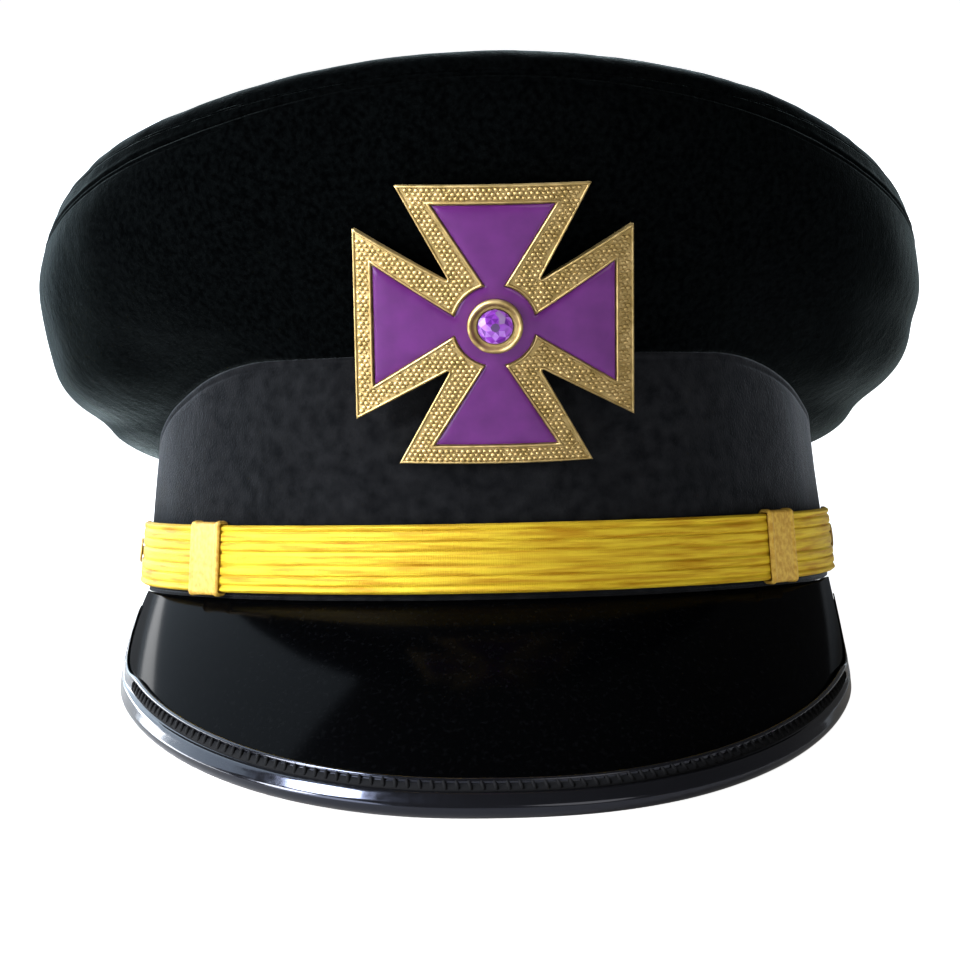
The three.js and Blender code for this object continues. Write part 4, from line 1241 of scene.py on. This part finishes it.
# Each ring: its share of the radius, its height, its turn in steps, and its number of corners.
STONE_RINGS = [(TABLE_SHARE, 2.5, 0, 8), (0.55, 2.2, 0.5, 8), (0.8, 1.8, 0, 8), (0.97, 1.3, 0.5, 16)]
STONE_RINGS += [(1, 1.05, 0, 16), (0.5, 0, 0, 8)]
stone_work = bmesh.new()
for radius, up, turn, count in STONE_RINGS:
    for k in range(count):
        angle = (k + turn) * 2 * math.pi / count
        reach = STONE_RADIUS * radius
        stone_work.verts.new((reach * math.cos(angle), reach * math.sin(angle), STONE_LOW + up))
bmesh.ops.convex_hull(stone_work, input=stone_work.verts)
stone_work.verts.index_update()
stone_vertices = np.array([v.co for v in stone_work.verts])
stone_faces = [[v.index for v in f.verts] for f in stone_work.faces]
stone_work.free()
stone_piece = made_up("badge_stone_cut", on_badge(stone_vertices), stone_faces, painted_light_stone_materials[0])
for paste in painted_light_stone_materials[1:]:
    stone_piece.data.materials.append(paste)
stone_middle = on_badge([(0, 0, STONE_LOW + 2.5)])[0]
# Each facet takes one painted light or shade colour at random, and the table takes the dark painted shade.
draw = np.random.default_rng(53)
for face in stone_piece.data.polygons:
    from_middle = 1000 * np.linalg.norm(np.array(face.center) - stone_middle)
    in_middle = from_middle < TABLE_SHARE * STONE_RADIUS
    face.material_index = 3 if in_middle else int(draw.choice(3, p=FACET_PAINTED_LIGHT_CHANCES))
stone_piece.data.shade_flat()
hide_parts("badge_stone")

# Table and light
# A plain pale table that runs out of sight. The key lamp and a large cool window light the cap from
# the left, before and behind, with a weak warm lamp in front. Three more only show in its gloss.
FLOOR_HALF = 40.0
TABLE_GLOW = 0.93
FILL = 0.1
LAMPS_AIM = Vector((0, 0, 0.06))

table_paint, tree, shader = new_material("pale table", (0.86, 0.86, 0.87), 0.8)
tint(tree, shader, noise(tree, 40.0, 2.0), (0.85, 0.85, 0.86), (0.87, 0.87, 0.88))
shader.inputs["Emission Color"].default_value = (1, 1, 1, 1)
mirrored = add_node(tree, "LightPath").outputs["Is Glossy Ray"]
tree.links.new(spread(tree, mirrored, TABLE_GLOW, 0.0, 0, 1), shader.inputs["Emission Strength"])
floor_mesh = bpy.data.meshes.new("table")
floor_corners = [(-1, -1, 0), (1, -1, 0), (1, 1, 0), (-1, 1, 0)]
floor_mesh.from_pydata([Vector(c) * FLOOR_HALF for c in floor_corners], [], [(0, 1, 2, 3)])
floor_mesh.materials.append(table_paint)
table = bpy.data.objects.new("table", floor_mesh)
scene.collection.objects.link(table)
table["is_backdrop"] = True

# Each lamp: its place, width, height if it isn't round, watts, colour, and whether it lights matt cloth.
LAMPS = {
    "key": ((-1.55, -0.55, 0.6), 0.7, None, 46, (1.0, 1.0, 1.0), True),
    "front": ((0.9, -1.8, 1.0), 1.3, None, 12, (1.0, 0.95, 0.86), True),
    "window": ((-1.1, 1.5, 0.9), 3.2, None, 72, (0.72, 0.86, 1.0), True),
    "over": ((-0.95, -0.3, 1.25), 0.6, None, 80, (0.8, 0.86, 1.0), False),
    "card": ((-1.3, -1.0, 0.15), 1.2, None, 30, (0.8, 0.86, 1.0), False),
    "strip": ((-1.25, 0.8, 0.16), 1.9, 0.22, 14, (1.0, 1.0, 1.0), False),
}
for name, (at, width, height, watts, colour, lights_cloth) in LAMPS.items():
    light = bpy.data.lights.new(name, "AREA")
    light.shape = "ELLIPSE" if height else "DISK"
    light.size = width
    if height:
        light.size_y = height
    light.energy = watts
    light.color = colour
    holder = bpy.data.objects.new(name, light)
    holder.location = at
    holder.rotation_euler = (LAMPS_AIM - Vector(at)).to_track_quat("-Z", "Y").to_euler()
    holder.visible_camera = False
    holder.visible_diffuse = lights_cloth
    scene.collection.objects.link(holder)

world = bpy.data.worlds.new("studio")
scene.world = world
world.use_nodes = True
air = world.node_tree
backdrop = air.nodes["Background"]
seen = add_node(air, "LightPath").outputs["Is Camera Ray"]
air.links.new(spread(air, seen, FILL, 1.0, 0, 1), backdrop.inputs["Strength"])
backdrop.inputs["Color"].default_value = (1, 1, 1, 1)
scene.view_settings.view_transform = "Standard"

# Sizes
# The box of the solids and the box of the dressed cap, for comparing the two.
bpy.context.view_layer.update()
dressed_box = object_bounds()
sizes = {"cad": [list(c) for c in solids_box], "visual": [list(c) for c in dressed_box]}
